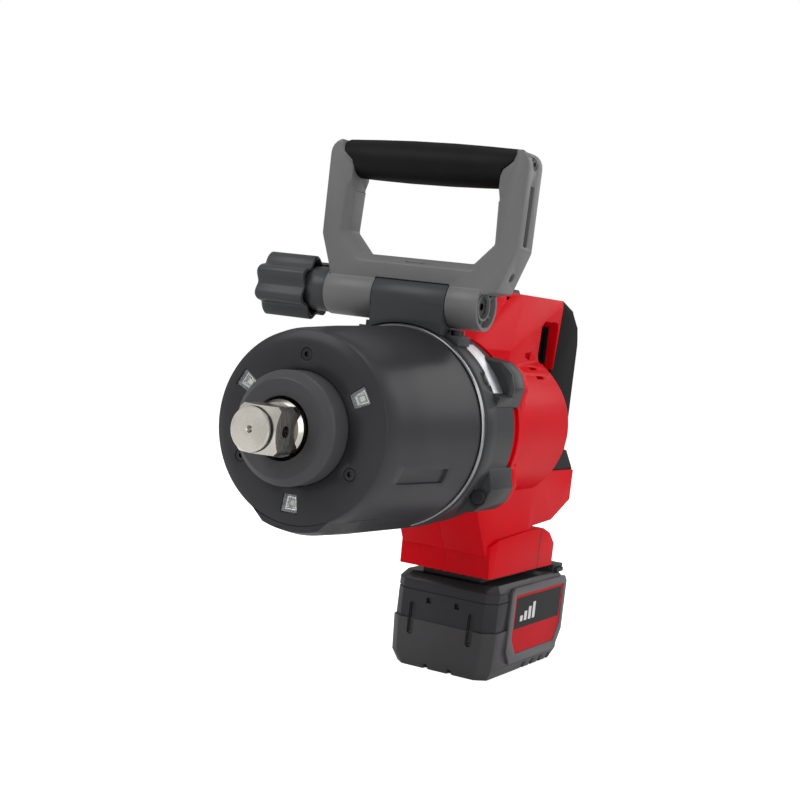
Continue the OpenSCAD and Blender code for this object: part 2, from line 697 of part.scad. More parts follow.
module block_side()
    offset(r = 2, $fn = 16) offset(delta = -2)
        polygon([[178, -38], [276, block_top + 1], [block_end - 6, block_top], [block_end, block_top - 5],
                 [block_end, block_top - 18], [306, -66], [272, -68], [264, -84], [201, -84],
                 [182, -55]]);

module block_plan(in)
    polygon([[-neck_half + in, 170], [neck_half - in, 170], [block_half - in, 250],
             [block_half - in, block_end - 10 - in], [block_half - 9 - in, block_end - in],
             [-block_half + 9 + in, block_end - in], [-block_half + in, block_end - 10 - in],
             [-block_half + in, 250]]);

module foot_side()
    polygon([[foot_front, foot_bottom], [foot_front - 2, -77], [foot_front + 8, -73.4],
             [262, foot_top + 1.8], [289, foot_top + 1.6], [302, foot_top - 2.6],
             [foot_end, foot_top - 14], [foot_end, foot_bottom]]);

module foot_plan(in)
    polygon([[-foot_half + 4 + in, 190 + in], [foot_half - 4 - in, 190 + in],
             [foot_half - in, foot_front + 5], [foot_half - in, foot_end - 4 - in],
             [foot_half - 4 - in, foot_end - in], [-foot_half + 4 + in, foot_end - in],
             [-foot_half + in, foot_end - 4 - in], [-foot_half + in, foot_front + 5]]);

module housing_outer() {
    drum_outer();
    lug_ridge(1);
    lug_ridge(-1);
    bridge_outer();
    intersection() {
        side_plate(-block_half, block_half) block_side();
        translate([0, 0, -120]) linear_extrude(120) block_plan(0);
    }
    intersection() {
        side_plate(-foot_half, foot_half) foot_side();
        translate([0, 0, -120]) linear_extrude(100) foot_plan(0);
    }
    grip_core(0);
}

// core of the grip, which the rubber wraps; its front strip stays bare
module grip_core(grow) {
    intersection() {
        side_plate(-grip_half, grip_half) offset(delta = grow - rubber_t) grip_outline();
        translate([0, 0, -60]) linear_extrude(160) grip_plan(grip_half - rubber_t + grow, rubber_t - grow);
    }
    intersection() {
        side_plate(-strip_half - grow, strip_half + grow) grip_outline();
        translate([-grip_half, grip_front - 1, -60]) cube([2 * grip_half, 5 + grow, 160]);
    }
}

module housing_cavity() {
    drum_inner();
    // bridge
    side_plate(-grip_half + shell, grip_half - shell)
        polygon([[206, 40], [208, 70], [222, bridge_top - shell], [grip_front + 10, bridge_top - shell],
                 [grip_front + 10, opening_top + shell], [opening_front + 18, opening_top + shell],
                 [opening_front + 2, 56], [opening_front - 6, 44]]);
    // grip
    side_plate(-grip_half + rubber_t + shell, grip_half - rubber_t - shell)
        polygon([[grip_front + shell + rubber_t, -40], [grip_front + shell + rubber_t, opening_top + shell],
                 [grip_back - 24, opening_top + 2], [grip_back - 13, 55],
                 [grip_back - rubber_t - shell - 2, 33], [grip_back - rubber_t - shell - 2, -40]]);
    // lower block, neck and foot
    intersection() {
        side_plate(-block_half + shell, block_half - shell)
            polygon([[190, -44], [282, block_top - shell], [block_end - 8, block_top - shell],
                     [block_end - shell, block_top - 8], [block_end - shell, block_top - 17],
                     [304, -62.6], [268, -64.6], [262, -76], [262, -90], [207, -90], [188, -56]]);
        translate([0, 0, -120]) linear_extrude(120) block_plan(shell);
    }
    side_plate(-foot_half + shell, foot_half - shell)
        polygon([[foot_front + shell, foot_bottom - 1], [foot_front + shell, -80], [262, -75],
                 [288, -75], [299, -78.4], [foot_end - shell, -89], [foot_end - shell, foot_bottom - 1]]);
}

// screws that close the housing: [y, z, half of the width there]
closing_screws = [[196, -64, neck_half], [256, -56, neck_half + 1], [330, -44, block_half],
                  [292, 82, grip_half], [222, 74, grip_half - 2]];

module housing_fittings() {
    // rings that hold the stator and the rear bearing
    for (y = [stator_y + 4, stator_end - 8])
        tube(drum_r - shell + 0.5, stator_r + 0.1, y, y + 4);
    tube(drum_r - shell + 0.5, front_bearing_r - 2 + run, rear_bearing_y + 1.5, rear_bearing_y + 5.5);
    for (s = closing_screws) cross_rod(4, -s[2] + 0.2, s[2] - 0.2, s[0], s[1]);
    both_sides() for (s = [1, -1]) round_axis(lug_circle_r, s * lug_angle)
        rod(4.9, case_len + 0.3, flange_y + 10);
    // ribs that hold the trigger's switch
    both_sides() for (z = [-16, 2])
        translate([switch_half + 0.1, switch_y + 3, trigger_z + z]) cube([grip_half, 5, 2]);
}

module housing_holes() {
    both_sides() for (s = [1, -1]) round_axis(lug_circle_r, s * lug_angle) rod(2.4, case_len, flange_y + 8.5);
    for (s = closing_screws) {
        cross_rod(1.6, -s[2] - 3, s[2] - 5, s[0], s[1]);
        cross_rod(3.4, -s[2] - 12, -s[2] + 3, s[0], s[1]);
    }
    // slot in the bridge for the direction lever
    translate([-lever_half - lever_travel - fit, lever_y - lever_len / 2 - fit, bridge_top - 12])
        cube([2 * (lever_half + lever_travel + fit), lever_len + 2 * fit, 20]);
    // slot in the front of the grip for the trigger
    translate([-trigger_half - 0.4, grip_front - 2, trigger_z - trigger_len / 2 - 0.4])
        cube([2 * trigger_half + 0.8, 12, trigger_len + 0.8]);
    // seat of the control panel
    side_plate(-panel_half - 0.2, panel_half + 0.2) panel_seat();
    // well of the mode button
    mode_axis() translate([0, 0, -9]) cylinder(r = 5.2, h = 9);
    // the battery slides in from behind
    translate([-rail_half - 3, foot_front + 20, foot_bottom - 1]) cube([2 * rail_half + 6, 120, 15.5]);
    // cooling slots behind the motor
    both_sides() for (i = [0 : 4]) rotate([0, -100 - 9 * i, 0])
        translate([drum_r - 8, fan_y, -1.3]) cube([14, fan_len, 2.6]);
}

strip_half = grip_half - 2.5;  // the bare strip of the grip beside the trigger
lever_y = 250;
lever_half = 6;             // half of the lever's width
lever_len = 25.2;
lever_travel = 3;           // either way from the middle
lever_plate = 11;           // half of the width of its sliding plate
trigger_z = opening_top - 8 - trigger_len / 2;
panel_half = 22;

module panel_seat() polygon([[292, foot_top + 6], [290.6, foot_top - 1.4], [302, foot_top - 4.6], [foot_end - 2, foot_top - 15.4],
             [foot_end + 3, foot_top - 15], [foot_end + 3, foot_top + 6]]);

module mode_axis() translate([8, 309, foot_top - 9]) rotate([-40, 0, 0]) children();

module housing_half(side) intersection() {
    difference() {
        union() {
            difference() {
                housing_outer();
                housing_cavity();
            }
            intersection() {
                housing_fittings();
                union() {
                    housing_outer();
                    front_plate(case_len + 0.3, flange_y + 1) each_lug() ear_outline();
                }
            }
        }
        opening_cut();
        housing_holes();
    }
    translate([side > 0 ? 0 : -80, 100, -130]) cube([80, 300, 250]);
}

module housing_left() color("red") tool() housing_half(1);
module housing_right() color("red") tool() housing_half(-1);

module housing_screws() color("dimgray") tool() for (s = closing_screws) difference() {
    union() {
        cross_rod(3.1, -s[2] + 0.4, -s[2] + 3, s[0], s[1]);
        cross_rod(1.55, -s[2] + 2, s[2] - 6, s[0], s[1]);
    }
    cross_rod(1.2, -s[2], -s[2] + 2, s[0], s[1], $fn = 6);
}

module grip_overmold() color([0.13, 0.13, 0.14]) tool() difference() {
    union() {
        intersection() {
            side_plate(-grip_half, grip_half) grip_outline();
            translate([0, 0, block_top - 2]) linear_extrude(140) grip_plan(grip_half);
        }
        // the skirt that spreads over the lower block
        hull() {
            translate([-block_half + 2, 292, block_top]) cube([2 * block_half - 4, block_end - 300, 1]);
            translate([-grip_half, 300, block_top + 11]) cube([2 * grip_half, grip_back - 300, 1]);
        }
    }
    grip_core(0.03);
    bridge_outer();
    opening_cut();
    rod(drum_r + 0.1, 180, drum_end);
    side_plate(-block_half - 1, block_half + 1) offset(delta = 0.03) block_side();
}

// ---------------------------------------------------------------- trigger and controls

module trigger() color([0.12, 0.12, 0.13]) tool() difference() {
    union() {
        side_plate(-trigger_half, trigger_half)
            offset(r = 3, $fn = 24) offset(delta = -3)
                polygon([[grip_front + 5, trigger_z - trigger_len / 2],
                         [grip_front + 5, trigger_z + trigger_len / 2],
                         [grip_front - trigger_out + 2, trigger_z + trigger_len / 2],
                         [grip_front - trigger_out + 4, trigger_z],
                         [grip_front - trigger_out, trigger_z - trigger_len / 2 + 3]]);
        translate([-4, grip_front + 3, trigger_z - 5]) cube([8, 13, 10]);
    }
    translate([0, grip_front + 7, trigger_z]) rotate([-90, 0, 0]) cylinder(r = 3, h = 20);
}

switch_y = grip_front + 24;
switch_half = 8.5;

module trigger_spring() color("silver") tool() translate([0, 0, trigger_z])
    tube(2.4, 1.5, grip_front + 7.2, switch_y - 0.2);

module trigger_switch() color("black") tool() difference() {
    translate([-switch_half, switch_y, trigger_z - 20]) cube([2 * switch_half, 12, 28]);
    translate([-4.5, switch_y - 1, trigger_z - 5.5]) cube([9, 1.2, 11]);
}

module direction_lever() color([0.28, 0.28, 0.3]) tool() {
    difference() {
        side_plate(-lever_half, lever_half) polygon([
            [lever_y - lever_len / 2, bridge_top - 6], [lever_y - 12, bridge_top + 0.8],
            [lever_y - 9, bridge_top + 3], [lever_y + 9, bridge_top + 3],
            [lever_y + 12, bridge_top + 0.8], [lever_y + lever_len / 2, bridge_top - 6]]);
        for (i = [-2 : 2]) translate([-7, lever_y + i * 3.6 - 0.6, bridge_top + 2.2]) cube([14, 1.2, 2]);
    }
    translate([-lever_plate, lever_y - 14, bridge_top - 6.2]) cube([2 * lever_plate, 28, 1.8]);
}

// carries the lever under the roof of the bridge
module lever_seat() color("black") tool() difference() {
    seat_half = grip_half - shell - 0.1;
    groove_half = lever_plate + lever_travel + fit;
    translate([-seat_half, lever_y - 16, bridge_top - 13]) cube([2 * seat_half, 32, 9.8]);
    translate([-groove_half, lever_y - 14.4, bridge_top - 6.4]) cube([2 * groove_half, 28.8, 4]);
    translate([-10, lever_y - 10, bridge_top - 14]) cube([20, 20, 9]);
}

module control_panel() color("black") tool() difference() {
    side_plate(-panel_half, panel_half)
        polygon([[291.2, foot_top + 1.2], [291.2, foot_top - 1.1], [302, foot_top - 4.2],
                 [foot_end - 2.3, foot_top - 15], [foot_end - 0.4, foot_top - 13.6], [303, foot_top - 2]]);
    mode_axis() translate([0, 0, -8]) cylinder(r = 3.6, h = 16);
}

module mode_button() color("dimgray") tool() mode_axis() {
    translate([0, 0, -3]) cylinder(r = 3.3, h = 3.8);
    translate([0, 0, -4.4]) cylinder(r = 4.6, h = 1.6);
}

module control_board() color("darkgreen") tool()
    translate([-24, 214, foot_bottom + shoe_t + 0.2]) cube([48, 70, 1.8]);

// ---------------------------------------------------------------- loop handle

base_bolt_x = 29.5;
base_bolt_r = 2.4;
base_bolt_tip = 44.5;
base_ear_top = 58.4;
collar_out = 79;
knob_in = 72;
knob_out = 108;
right_end = 46.6;
left_end = 59.4;

module handle_base() color([0.24, 0.24, 0.25]) tool() difference() {
    union() {
        cross_rod(sleeve_r, -mid_half, mid_half, pivot_y, pivot_z);
        side_plate(-mid_half + 0.4, mid_half - 0.4) polygon([
            [band_y + 0.3, 50], [pivot_y - sleeve_r + 0.5, 66], [pivot_y - sleeve_r + 0.2, pivot_z],
            [pivot_y + sleeve_r - 0.2, pivot_z], [pivot_y + sleeve_r - 0.5, 66], [pivot_y + 17, 50]]);
        translate([-base_bolt_x - 5, pivot_y - 8, 48]) cube([2 * base_bolt_x + 10, 16, base_ear_top - 48]);
    }
    rod(boot_r + 0.1, band_y - 10, pivot_y + 40, $fn = 96);
    cross_rod(bolt_r + fit, -mid_half - 1, mid_half + 1, pivot_y, pivot_z);
    both_sides() translate([base_bolt_x, pivot_y, 30]) cylinder(r = base_bolt_r + 0.2, h = 60);
}

module handle_base_bolts() color("silver") tool() both_sides() translate([base_bolt_x, pivot_y, 0]) difference() {
    union() {
        translate([0, 0, base_bolt_tip]) cylinder(r = base_bolt_r - 0.02, h = base_ear_top - base_bolt_tip + 1);
        translate([0, 0, base_ear_top]) cylinder(r = 4.2, h = 3.2);
    }
    translate([0, 0, base_ear_top + 1.4]) cylinder(r = 2.2, h = 4, $fn = 6);
}

module loop_outline() {
    top = loop_top;
    offset(r = 4, $fn = 24) offset(delta = -4)
        polygon([[right_end - 1, 84], [57, 86.5], [loop_half, 112], [loop_half + 0.5, top - 8],
                 [loop_half - 5, top], [-loop_half + 5, top], [-loop_half - 0.5, top - 8],
                 [-loop_half, 112], [-57, 86.5], [-right_end + 1, 84]]);
}

module loop_hole()
    offset(r = 3, $fn = 24) offset(delta = -3)
        polygon([[-40, 102], [40, 102], [loop_half - leg_w + 1, 114.6], [loop_half - leg_w, loop_top - 12],
                 [-loop_half + leg_w, loop_top - 12], [-loop_half + leg_w - 1, 114.6]]);

grip_z = loop_top - 9.5;
grip_end = 52;

module handle_frame() color([0.42, 0.42, 0.43]) tool() difference() {
    union() {
        difference() {
            front_plate(pivot_y - loop_depth / 2, pivot_y + loop_depth / 2) difference() {
                loop_outline();
                loop_hole();
                translate([-grip_end, loop_top - 26]) square([2 * grip_end, 60]);
            }
            // room for the fixed middle sleeve and its block
            translate([-mid_half - 0.3, pivot_y - 20, 50]) cube([2 * mid_half + 0.6, 40, pivot_z + sleeve_r - 50 + 0.4]);
        }
        cross_rod(9.5, -grip_end - 4, grip_end + 4, pivot_y, grip_z);
        cross_rod(sleeve_r, mid_half + 0.3, right_end, pivot_y, pivot_z);
        cross_rod(sleeve_r, -left_end, -mid_half - 0.3, pivot_y, pivot_z);
    }
    cross_rod(bolt_r + fit, -left_end - 1, right_end + 1, pivot_y, pivot_z);
    // cup at the open end, with a hub ring in it
    difference() {
        cross_rod(11.8, right_end - 12, right_end + 1, pivot_y, pivot_z);
        cross_rod(9.2, right_end - 13, right_end - 3, pivot_y, pivot_z);
    }
    cross_rod(7.2, right_end - 8, right_end + 1, pivot_y, pivot_z, $fn = 48);
    // long slots down the outside of the legs
    both_sides() translate([loop_half - 4, pivot_y - 3, 118]) cube([8, 6, 40]);
    // plug holes near the top
    both_sides() cross_rod(3.6, loop_half - 6, loop_half + 3, pivot_y, loop_top - 7.4);
}

module handle_plugs() color([0.3, 0.3, 0.31]) tool() both_sides() difference() {
    cross_rod(3.5, loop_half - 5.9, loop_half - 0.2, pivot_y, loop_top - 7.4);
    cross_rod(1.6, loop_half - 3, loop_half + 1, pivot_y, loop_top - 7.4, $fn = 6);
}

module loop_grip() color([0.1, 0.1, 0.11]) tool() difference() {
    translate([0, pivot_y, grip_z]) rotate([0, 90, 0]) rotate_extrude($fn = 64)
        polygon([[9.55, -grip_end + 0.2], [loop_grip_r - 1.4, -grip_end + 0.2], [loop_grip_r - 0.5, -grip_end * 0.6],
                 [loop_grip_r, -grip_end * 0.25], [loop_grip_r, grip_end * 0.25],
                 [loop_grip_r - 0.5, grip_end * 0.6], [loop_grip_r - 1.4, grip_end - 0.2], [9.55, grip_end - 0.2]]);
}

module handle_collar() color([0.24, 0.24, 0.25]) tool() difference() {
    cross_rod(sleeve_r - 0.8, -collar_out, -left_end, pivot_y, pivot_z);
    cross_rod(bolt_r + fit, -collar_out - 1, -left_end + 1, pivot_y, pivot_z);
}

knob_lobes = 7;
function knob_r_at(a) = knob_r - 1.6 + 1.6 * cos(knob_lobes * a);

module handle_knob() color([0.22, 0.22, 0.23]) tool() difference() {
    union() {
        difference() {
            translate([-knob_out, pivot_y, pivot_z]) rotate([0, 90, 0])
                linear_extrude(knob_out - knob_in)
                    polygon([for (a = [0 : 6 : 354]) [knob_r_at(a) * cos(a), knob_r_at(a) * sin(a)]]);
            cross_rod(knob_r - 5, -knob_out + 12, -knob_in + 5, pivot_y, pivot_z);
        }
        cross_rod(bolt_r + 3.4, -knob_out + 4, -collar_out - 0.3, pivot_y, pivot_z);
        for (i = [0 : knob_lobes - 1]) translate([0, pivot_y, pivot_z]) rotate([360 * (i + 0.5) / knob_lobes, 0, 0])
            translate([-knob_out + 10, -1, bolt_r + 1.5]) cube([18, 2, knob_r - bolt_r - 6.8]);
    }
    cross_rod(bolt_r, -knob_out + 6, -knob_in + 6, pivot_y, pivot_z);
}

module handle_bolt() color("silver") tool() difference() {
    union() {
        cross_rod(bolt_r - eps, -knob_out + 6, right_end - 9, pivot_y, pivot_z);
        cross_rod(6.8, right_end - 7.8, right_end - 3.4, pivot_y, pivot_z, $fn = 6);
        cross_rod(bolt_r - eps, right_end - 10, right_end - 7, pivot_y, pivot_z);
    }
    cross_rod(2.6, right_end - 6, right_end, pivot_y, pivot_z, $fn = 6);
}

// ---------------------------------------------------------------- battery

step_h = 33;                // height of the step between the two case halves
foot_z = axis_h + foot_bottom;
shoe_t = 14;                // height of the socket block inside the foot
shoe_len = 92;
deck_h = 12;                // height of the rail block above the shoulders
cell_pitch = 2 * cell_r + 0.4;
cell_rise = 1.76 * cell_r;
cell_mid = (pack_wall + pack_h) / 2 + 1;
cell_floor = cell_mid - cell_rise - cell_r;

// plan of the battery with its chamfered corners
module pack_plan(in, corner = 7)
    polygon([[-pack_half + in, -pack_half_len + corner + in], [-pack_half + corner + in, -pack_half_len + in],
             [pack_half - corner - in, -pack_half_len + in], [pack_half - in, -pack_half_len + corner + in],
             [pack_half - in, pack_half_len - corner - in], [pack_half - corner - in, pack_half_len - in],
             [-pack_half + corner + in, pack_half_len - in], [-pack_half + in, pack_half_len - corner - in]]);

module battery_lower_case() color([0.25, 0.25, 0.26]) difference() {
    hull() {
        linear_extrude(0.4) pack_plan(4.4);
        translate([0, 0, 8]) linear_extrude(1) pack_plan(1);
        translate([0, 0, step_h - 1]) linear_extrude(1) pack_plan(0);
    }
    cell_room(cell_floor - 0.2, step_h + 1);
    for (x = [-22, 22]) translate([x - 1.6, -pack_half_len - 1, step_h - 9]) cube([3.2, 4, 12]);
    for (x = [-9, 9]) translate([x - 1.6, -pack_half_len - 1, -1]) cube([3.2, 9, 4.4]);
    both_sides() for (i = [0 : 3]) translate([pack_half - 7, 2 + 15 * i, -1]) cube([8, 3.4, 6]);
    both_sides() bezel_recess(0.15);
}

// space for the cells between two heights
module cell_room(z0, z1)
    translate([-cell_len / 2 - 0.5, -pack_half_len + 9, z0])
        cube([cell_len + 1, 2 * pack_half_len - 18, z1 - z0]);

// side outline of the bezel round the label
module bezel_outline() polygon([[-38, 57.6], [-34, 61.6], [56, 61.6], [60, 57.6], [60, 22], [50, 8.6], [-30, 8.6], [-38, 18]]);

module bezel_recess(grow) side_plate(pack_half - 2, pack_half + 3) offset(delta = grow) bezel_outline();

module battery_bezels() color([0.42, 0.42, 0.44]) both_sides() difference() {
    side_plate(pack_half - 1.85, pack_half + 0.6) bezel_outline();
    side_plate(pack_half - 0.4, pack_half + 2) offset(delta = 0.15) label_outline();
}

module label_outline() polygon([[-31, 56], [54, 56], [54, 27], [46, 15], [-22, 15], [-31, 26]]);

module battery_labels() color([0.1, 0.1, 0.11]) both_sides()
    side_plate(pack_half - 0.4, pack_half + 0.2) label_outline();

module battery_upper_case() color([0.12, 0.12, 0.13]) difference() {
    union() {
        translate([0, 0, step_h]) linear_extrude(pack_h - step_h - 5) pack_plan(1);
        translate([0, 0, pack_h - 5]) hull() {
            linear_extrude(0.1) pack_plan(1);
            translate([0, 0, 4.9]) linear_extrude(0.1) pack_plan(4.5);
        }
        // raised block with the slide rails
        translate([-rail_half + 3, -pack_half_len + 10, pack_h - 1]) cube([2 * rail_half - 6, 2 * pack_half_len - 34, deck_h + 1]);
        translate([-rail_half, -pack_half_len + 10, pack_h + deck_h - 4]) cube([2 * rail_half, 2 * pack_half_len - 34, 4]);
        // raised end with the latch buttons and the gauge
        translate([-pack_half + 5, 44, pack_h - 1]) cube([2 * pack_half - 10, 18, 6]);
    }
    cell_room(step_h - 1, pack_h - pack_wall);
    for (x = [-22, 22]) translate([x - 1.6, -pack_half_len - 1, step_h - 1]) cube([3.2, 4, 11]);
    for (x = [-11, 11]) translate([x - 1.4, -pack_half_len - 1, 45]) cube([2.8, 3, 3.6]);
    both_sides() side_plate(pack_half - 2, pack_half + 3) offset(delta = 0.15) bezel_outline();
    // terminal slots in the front of the rail block
    for (x = [-15 : terminal_pitch : 15])
        translate([x - blade_t, -pack_half_len + 9, pack_h + 2.6]) cube([2 * blade_t, 16, deck_h - 5]);
    both_sides() translate([pack_half - 12, 47, pack_h - 0.6]) cube([12, 12, 3.6]);
    translate([-10, 58, 46]) cube([20, 12, 9]);
}

// three rows of five cells, the middle row shifted by half a pitch
module battery_cells() color("royalblue") for (row = [-1 : 1], i = [-2 : 2])
    cross_rod(cell_r, -cell_len / 2, cell_len / 2,
              cell_pitch * (i + (row == 0 ? 0.25 : -0.25)), cell_mid + cell_rise * row);

module latch_button(side) color([0.3, 0.3, 0.31]) scale([side, 1, 1]) difference() {
    translate([pack_half - 10, 47.4, pack_h - 0.2]) cube([7, 11.2, 2.8]);
    for (i = [0 : 2]) translate([pack_half - 3.6, 49.4 + 3 * i, pack_h - 1]) cube([1, 1.2, 6]);
}

module latch_button_left() latch_button(1);
module latch_button_right() latch_button(-1);

module gauge_button() color("dimgray") translate([6, 0, 50.5]) {
    rod(2.6, 60, 63.6, 0, 0);
    rod(3.4, 59.2, 60.6, 0, 0);
}

shoe_half = foot_half - shell - 0.1;

module battery_shoe() color([0.1, 0.1, 0.11]) difference() {
    translate([-shoe_half, -pack_half_len + 0.4, foot_z]) cube([2 * shoe_half, shoe_len, shoe_t]);
    translate([-rail_half + 3 - 0.4, -pack_half_len + 9, foot_z - 1]) cube([2 * rail_half - 5.2, 120, pack_h + deck_h - foot_z + 1.4]);
    translate([-rail_half - 0.4, -pack_half_len + 9, pack_h + deck_h - 4.4]) cube([2 * rail_half + 0.8, 120, 4.8]);
    translate([-terminal_half - 0.1, -pack_half_len + 6, foot_z - 1]) cube([2 * terminal_half + 0.2, 4, 8.1]);
}

terminal_half = 18;
terminal_pitch = 6;
blade_t = 0.8;

module terminal_block() color("goldenrod") {
    translate([-terminal_half, -pack_half_len + 6.1, foot_z + 0.4]) cube([2 * terminal_half, 2.8, 6.6]);
    for (x = [-15 : terminal_pitch : 15])
        translate([x - blade_t / 2, -pack_half_len + 8, foot_z + 0.7]) cube([blade_t, 14, 2.8]);
}

nose_cover();
nose_boss();
nose_screws();
led_lenses();
led_board();
hammer_case();
retaining_ring();
gearcase_boot();
case_screws();
anvil();
friction_ring();
anvil_bushing();
shaft_seal();
anvil_o_ring();
hammer();
hammer_spring();
cam_balls();
camshaft();
planet_pins();
planet_gear_1();
planet_gear_2();
planet_gear_3();
ring_gear();
gear_plate();
front_bearing();
rear_bearing();
rotor();
stator();
stator_coils();
fan();
housing_left();
housing_right();
housing_screws();
grip_overmold();
trigger();
trigger_spring();
trigger_switch();
direction_lever();
lever_seat();
control_panel();
mode_button();
control_board();
handle_base();
handle_base_bolts();
handle_frame();
handle_plugs();
loop_grip();
handle_collar();
handle_knob();
handle_bolt();
battery_lower_case();
battery_bezels();
battery_labels();
battery_upper_case();
battery_cells();
latch_button_left();
latch_button_right();
gauge_button();
battery_shoe();
terminal_block();
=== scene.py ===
import json
import math

import bmesh
import bpy
from mathutils import Matrix, Vector

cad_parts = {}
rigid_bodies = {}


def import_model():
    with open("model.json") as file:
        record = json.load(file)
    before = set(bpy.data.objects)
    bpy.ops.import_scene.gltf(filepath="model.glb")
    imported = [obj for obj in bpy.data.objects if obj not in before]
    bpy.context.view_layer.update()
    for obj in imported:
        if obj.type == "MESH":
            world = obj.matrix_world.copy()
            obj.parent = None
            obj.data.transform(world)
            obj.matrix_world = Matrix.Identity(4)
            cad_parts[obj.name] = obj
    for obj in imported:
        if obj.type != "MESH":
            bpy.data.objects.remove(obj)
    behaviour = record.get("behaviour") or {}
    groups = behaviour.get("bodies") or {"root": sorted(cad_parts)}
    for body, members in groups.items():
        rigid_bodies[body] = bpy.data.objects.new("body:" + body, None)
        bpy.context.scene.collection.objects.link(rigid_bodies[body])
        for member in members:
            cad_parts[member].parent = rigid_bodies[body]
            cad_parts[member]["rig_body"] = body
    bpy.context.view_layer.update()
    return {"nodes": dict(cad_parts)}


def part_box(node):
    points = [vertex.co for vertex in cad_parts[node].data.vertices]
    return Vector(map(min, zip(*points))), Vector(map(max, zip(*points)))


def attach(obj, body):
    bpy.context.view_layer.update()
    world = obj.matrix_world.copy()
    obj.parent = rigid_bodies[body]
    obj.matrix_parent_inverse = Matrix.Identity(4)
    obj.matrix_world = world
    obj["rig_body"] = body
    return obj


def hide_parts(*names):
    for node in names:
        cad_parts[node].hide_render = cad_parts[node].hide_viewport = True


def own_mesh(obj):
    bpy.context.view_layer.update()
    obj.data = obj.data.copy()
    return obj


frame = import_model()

mm = 0.001
nodes = frame["nodes"]
anvilLow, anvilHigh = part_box("anvil")
axisHeight = (anvilLow.z + anvilHigh.z) / 2     # height of the anvil's axis
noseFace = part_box("nose_cover")[0].y            # the flat front of the nose
toolOrigin = Vector((0, noseFace, axisHeight))  # middle of the nose face
packOrigin = Vector((0, 0, 0))                  # middle of the pack's underside
print("frame loaded:", len(nodes), "nodes")


def newMaterial(name, **settings):
    mat = bpy.data.materials.new(name)
    mat.use_nodes = True
    tree = mat.node_tree
    tree.nodes.clear()
    out = tree.nodes.new("ShaderNodeOutputMaterial")
    skin = tree.nodes.new("ShaderNodeBsdfPrincipled")
    tree.links.new(skin.outputs["BSDF"], out.inputs["Surface"])
    for label, value in settings.items():
        skin.inputs[label].default_value = value
    return mat, tree, skin


def newGroup(name, inputs, outputs):
    group = bpy.data.node_groups.new(name, "ShaderNodeTree")
    for label, kind, value in inputs:
        sock = group.interface.new_socket(label, in_out="INPUT", socket_type=kind)
        sock.default_value = value
    for label, kind in outputs:
        group.interface.new_socket(label, in_out="OUTPUT", socket_type=kind)
    return group, group.nodes.new("NodeGroupInput"), group.nodes.new("NodeGroupOutput")


def feed(tree, value, sock):
    if hasattr(value, "links"):
        tree.links.new(value, sock)
    else:
        sock.default_value = value


def sums(tree, operation, a, b=0.0):
    node = tree.nodes.new("ShaderNodeMath")
    node.operation = operation
    feed(tree, a, node.inputs[0])
    feed(tree, b, node.inputs[1])
    return node.outputs[0]


def noise(tree, scale, detail=2.0, vector=None, rough=0.5):
    node = tree.nodes.new("ShaderNodeTexNoise")
    feed(tree, scale, node.inputs["Scale"])
    node.inputs["Detail"].default_value = detail
    node.inputs["Roughness"].default_value = rough
    if vector is not None:
        tree.links.new(vector, node.inputs["Vector"])
    return node.outputs["Fac"]


def stretch(tree, value, low, high, outLow=0.0, outHigh=1.0):
    node = tree.nodes.new("ShaderNodeMapRange")
    node.interpolation_type = "SMOOTHSTEP"
    tree.links.new(value, node.inputs["Value"])
    limits = {"From Min": low, "From Max": high, "To Min": outLow, "To Max": outHigh}
    for label, number in limits.items():
        feed(tree, number, node.inputs[label])
    return node.outputs["Result"]


def mixColour(tree, amount, first, second):
    node = tree.nodes.new("ShaderNodeMix")
    node.data_type = "RGBA"
    feed(tree, amount, node.inputs["Factor"])
    feed(tree, first, node.inputs["A"])
    feed(tree, second, node.inputs["B"])
    return node.outputs["Result"]


floatSocket, colourSocket = "NodeSocketFloat", "NodeSocketColor"


def makeGrain():
    # spark-eroded mould skin: fine pits over a slower unevenness
    group, taken, given = newGroup(
        "mould grain",
        [("Size", floatSocket, 1800.0), ("Unevenness", floatSocket, 0.3)],
        [("Height", floatSocket), ("Shine", floatSocket)])
    place = group.nodes.new("ShaderNodeTexCoord").outputs["Object"]
    fine = noise(group, taken.outputs["Size"], 3.0, place, 0.6)
    slow = noise(group, 55.0, 2.0, place)
    uneven = sums(group, "MULTIPLY", slow, taken.outputs["Unevenness"])
    group.links.new(sums(group, "ADD", fine, uneven), given.inputs["Height"])
    both = sums(group, "ADD", fine, slow)
    group.links.new(sums(group, "MULTIPLY", both, 0.5), given.inputs["Shine"])
    return group


def makeDrift():
    # slow change of tone over a moulding
    group, taken, given = newGroup(
        "tone drift",
        [("Colour", colourSocket, (0.5, 0.5, 0.5, 1)), ("Other", colourSocket, (0.4, 0.4, 0.4, 1)),
         ("Size", floatSocket, 14.0)],
        [("Colour", colourSocket)])
    place = group.nodes.new("ShaderNodeTexCoord").outputs["Object"]
    patch = stretch(group, noise(group, taken.outputs["Size"], 3.0, place), 0.35, 0.7)
    tone = mixColour(group, patch, taken.outputs["Colour"], taken.outputs["Other"])
    group.links.new(tone, given.inputs["Colour"])
    return group


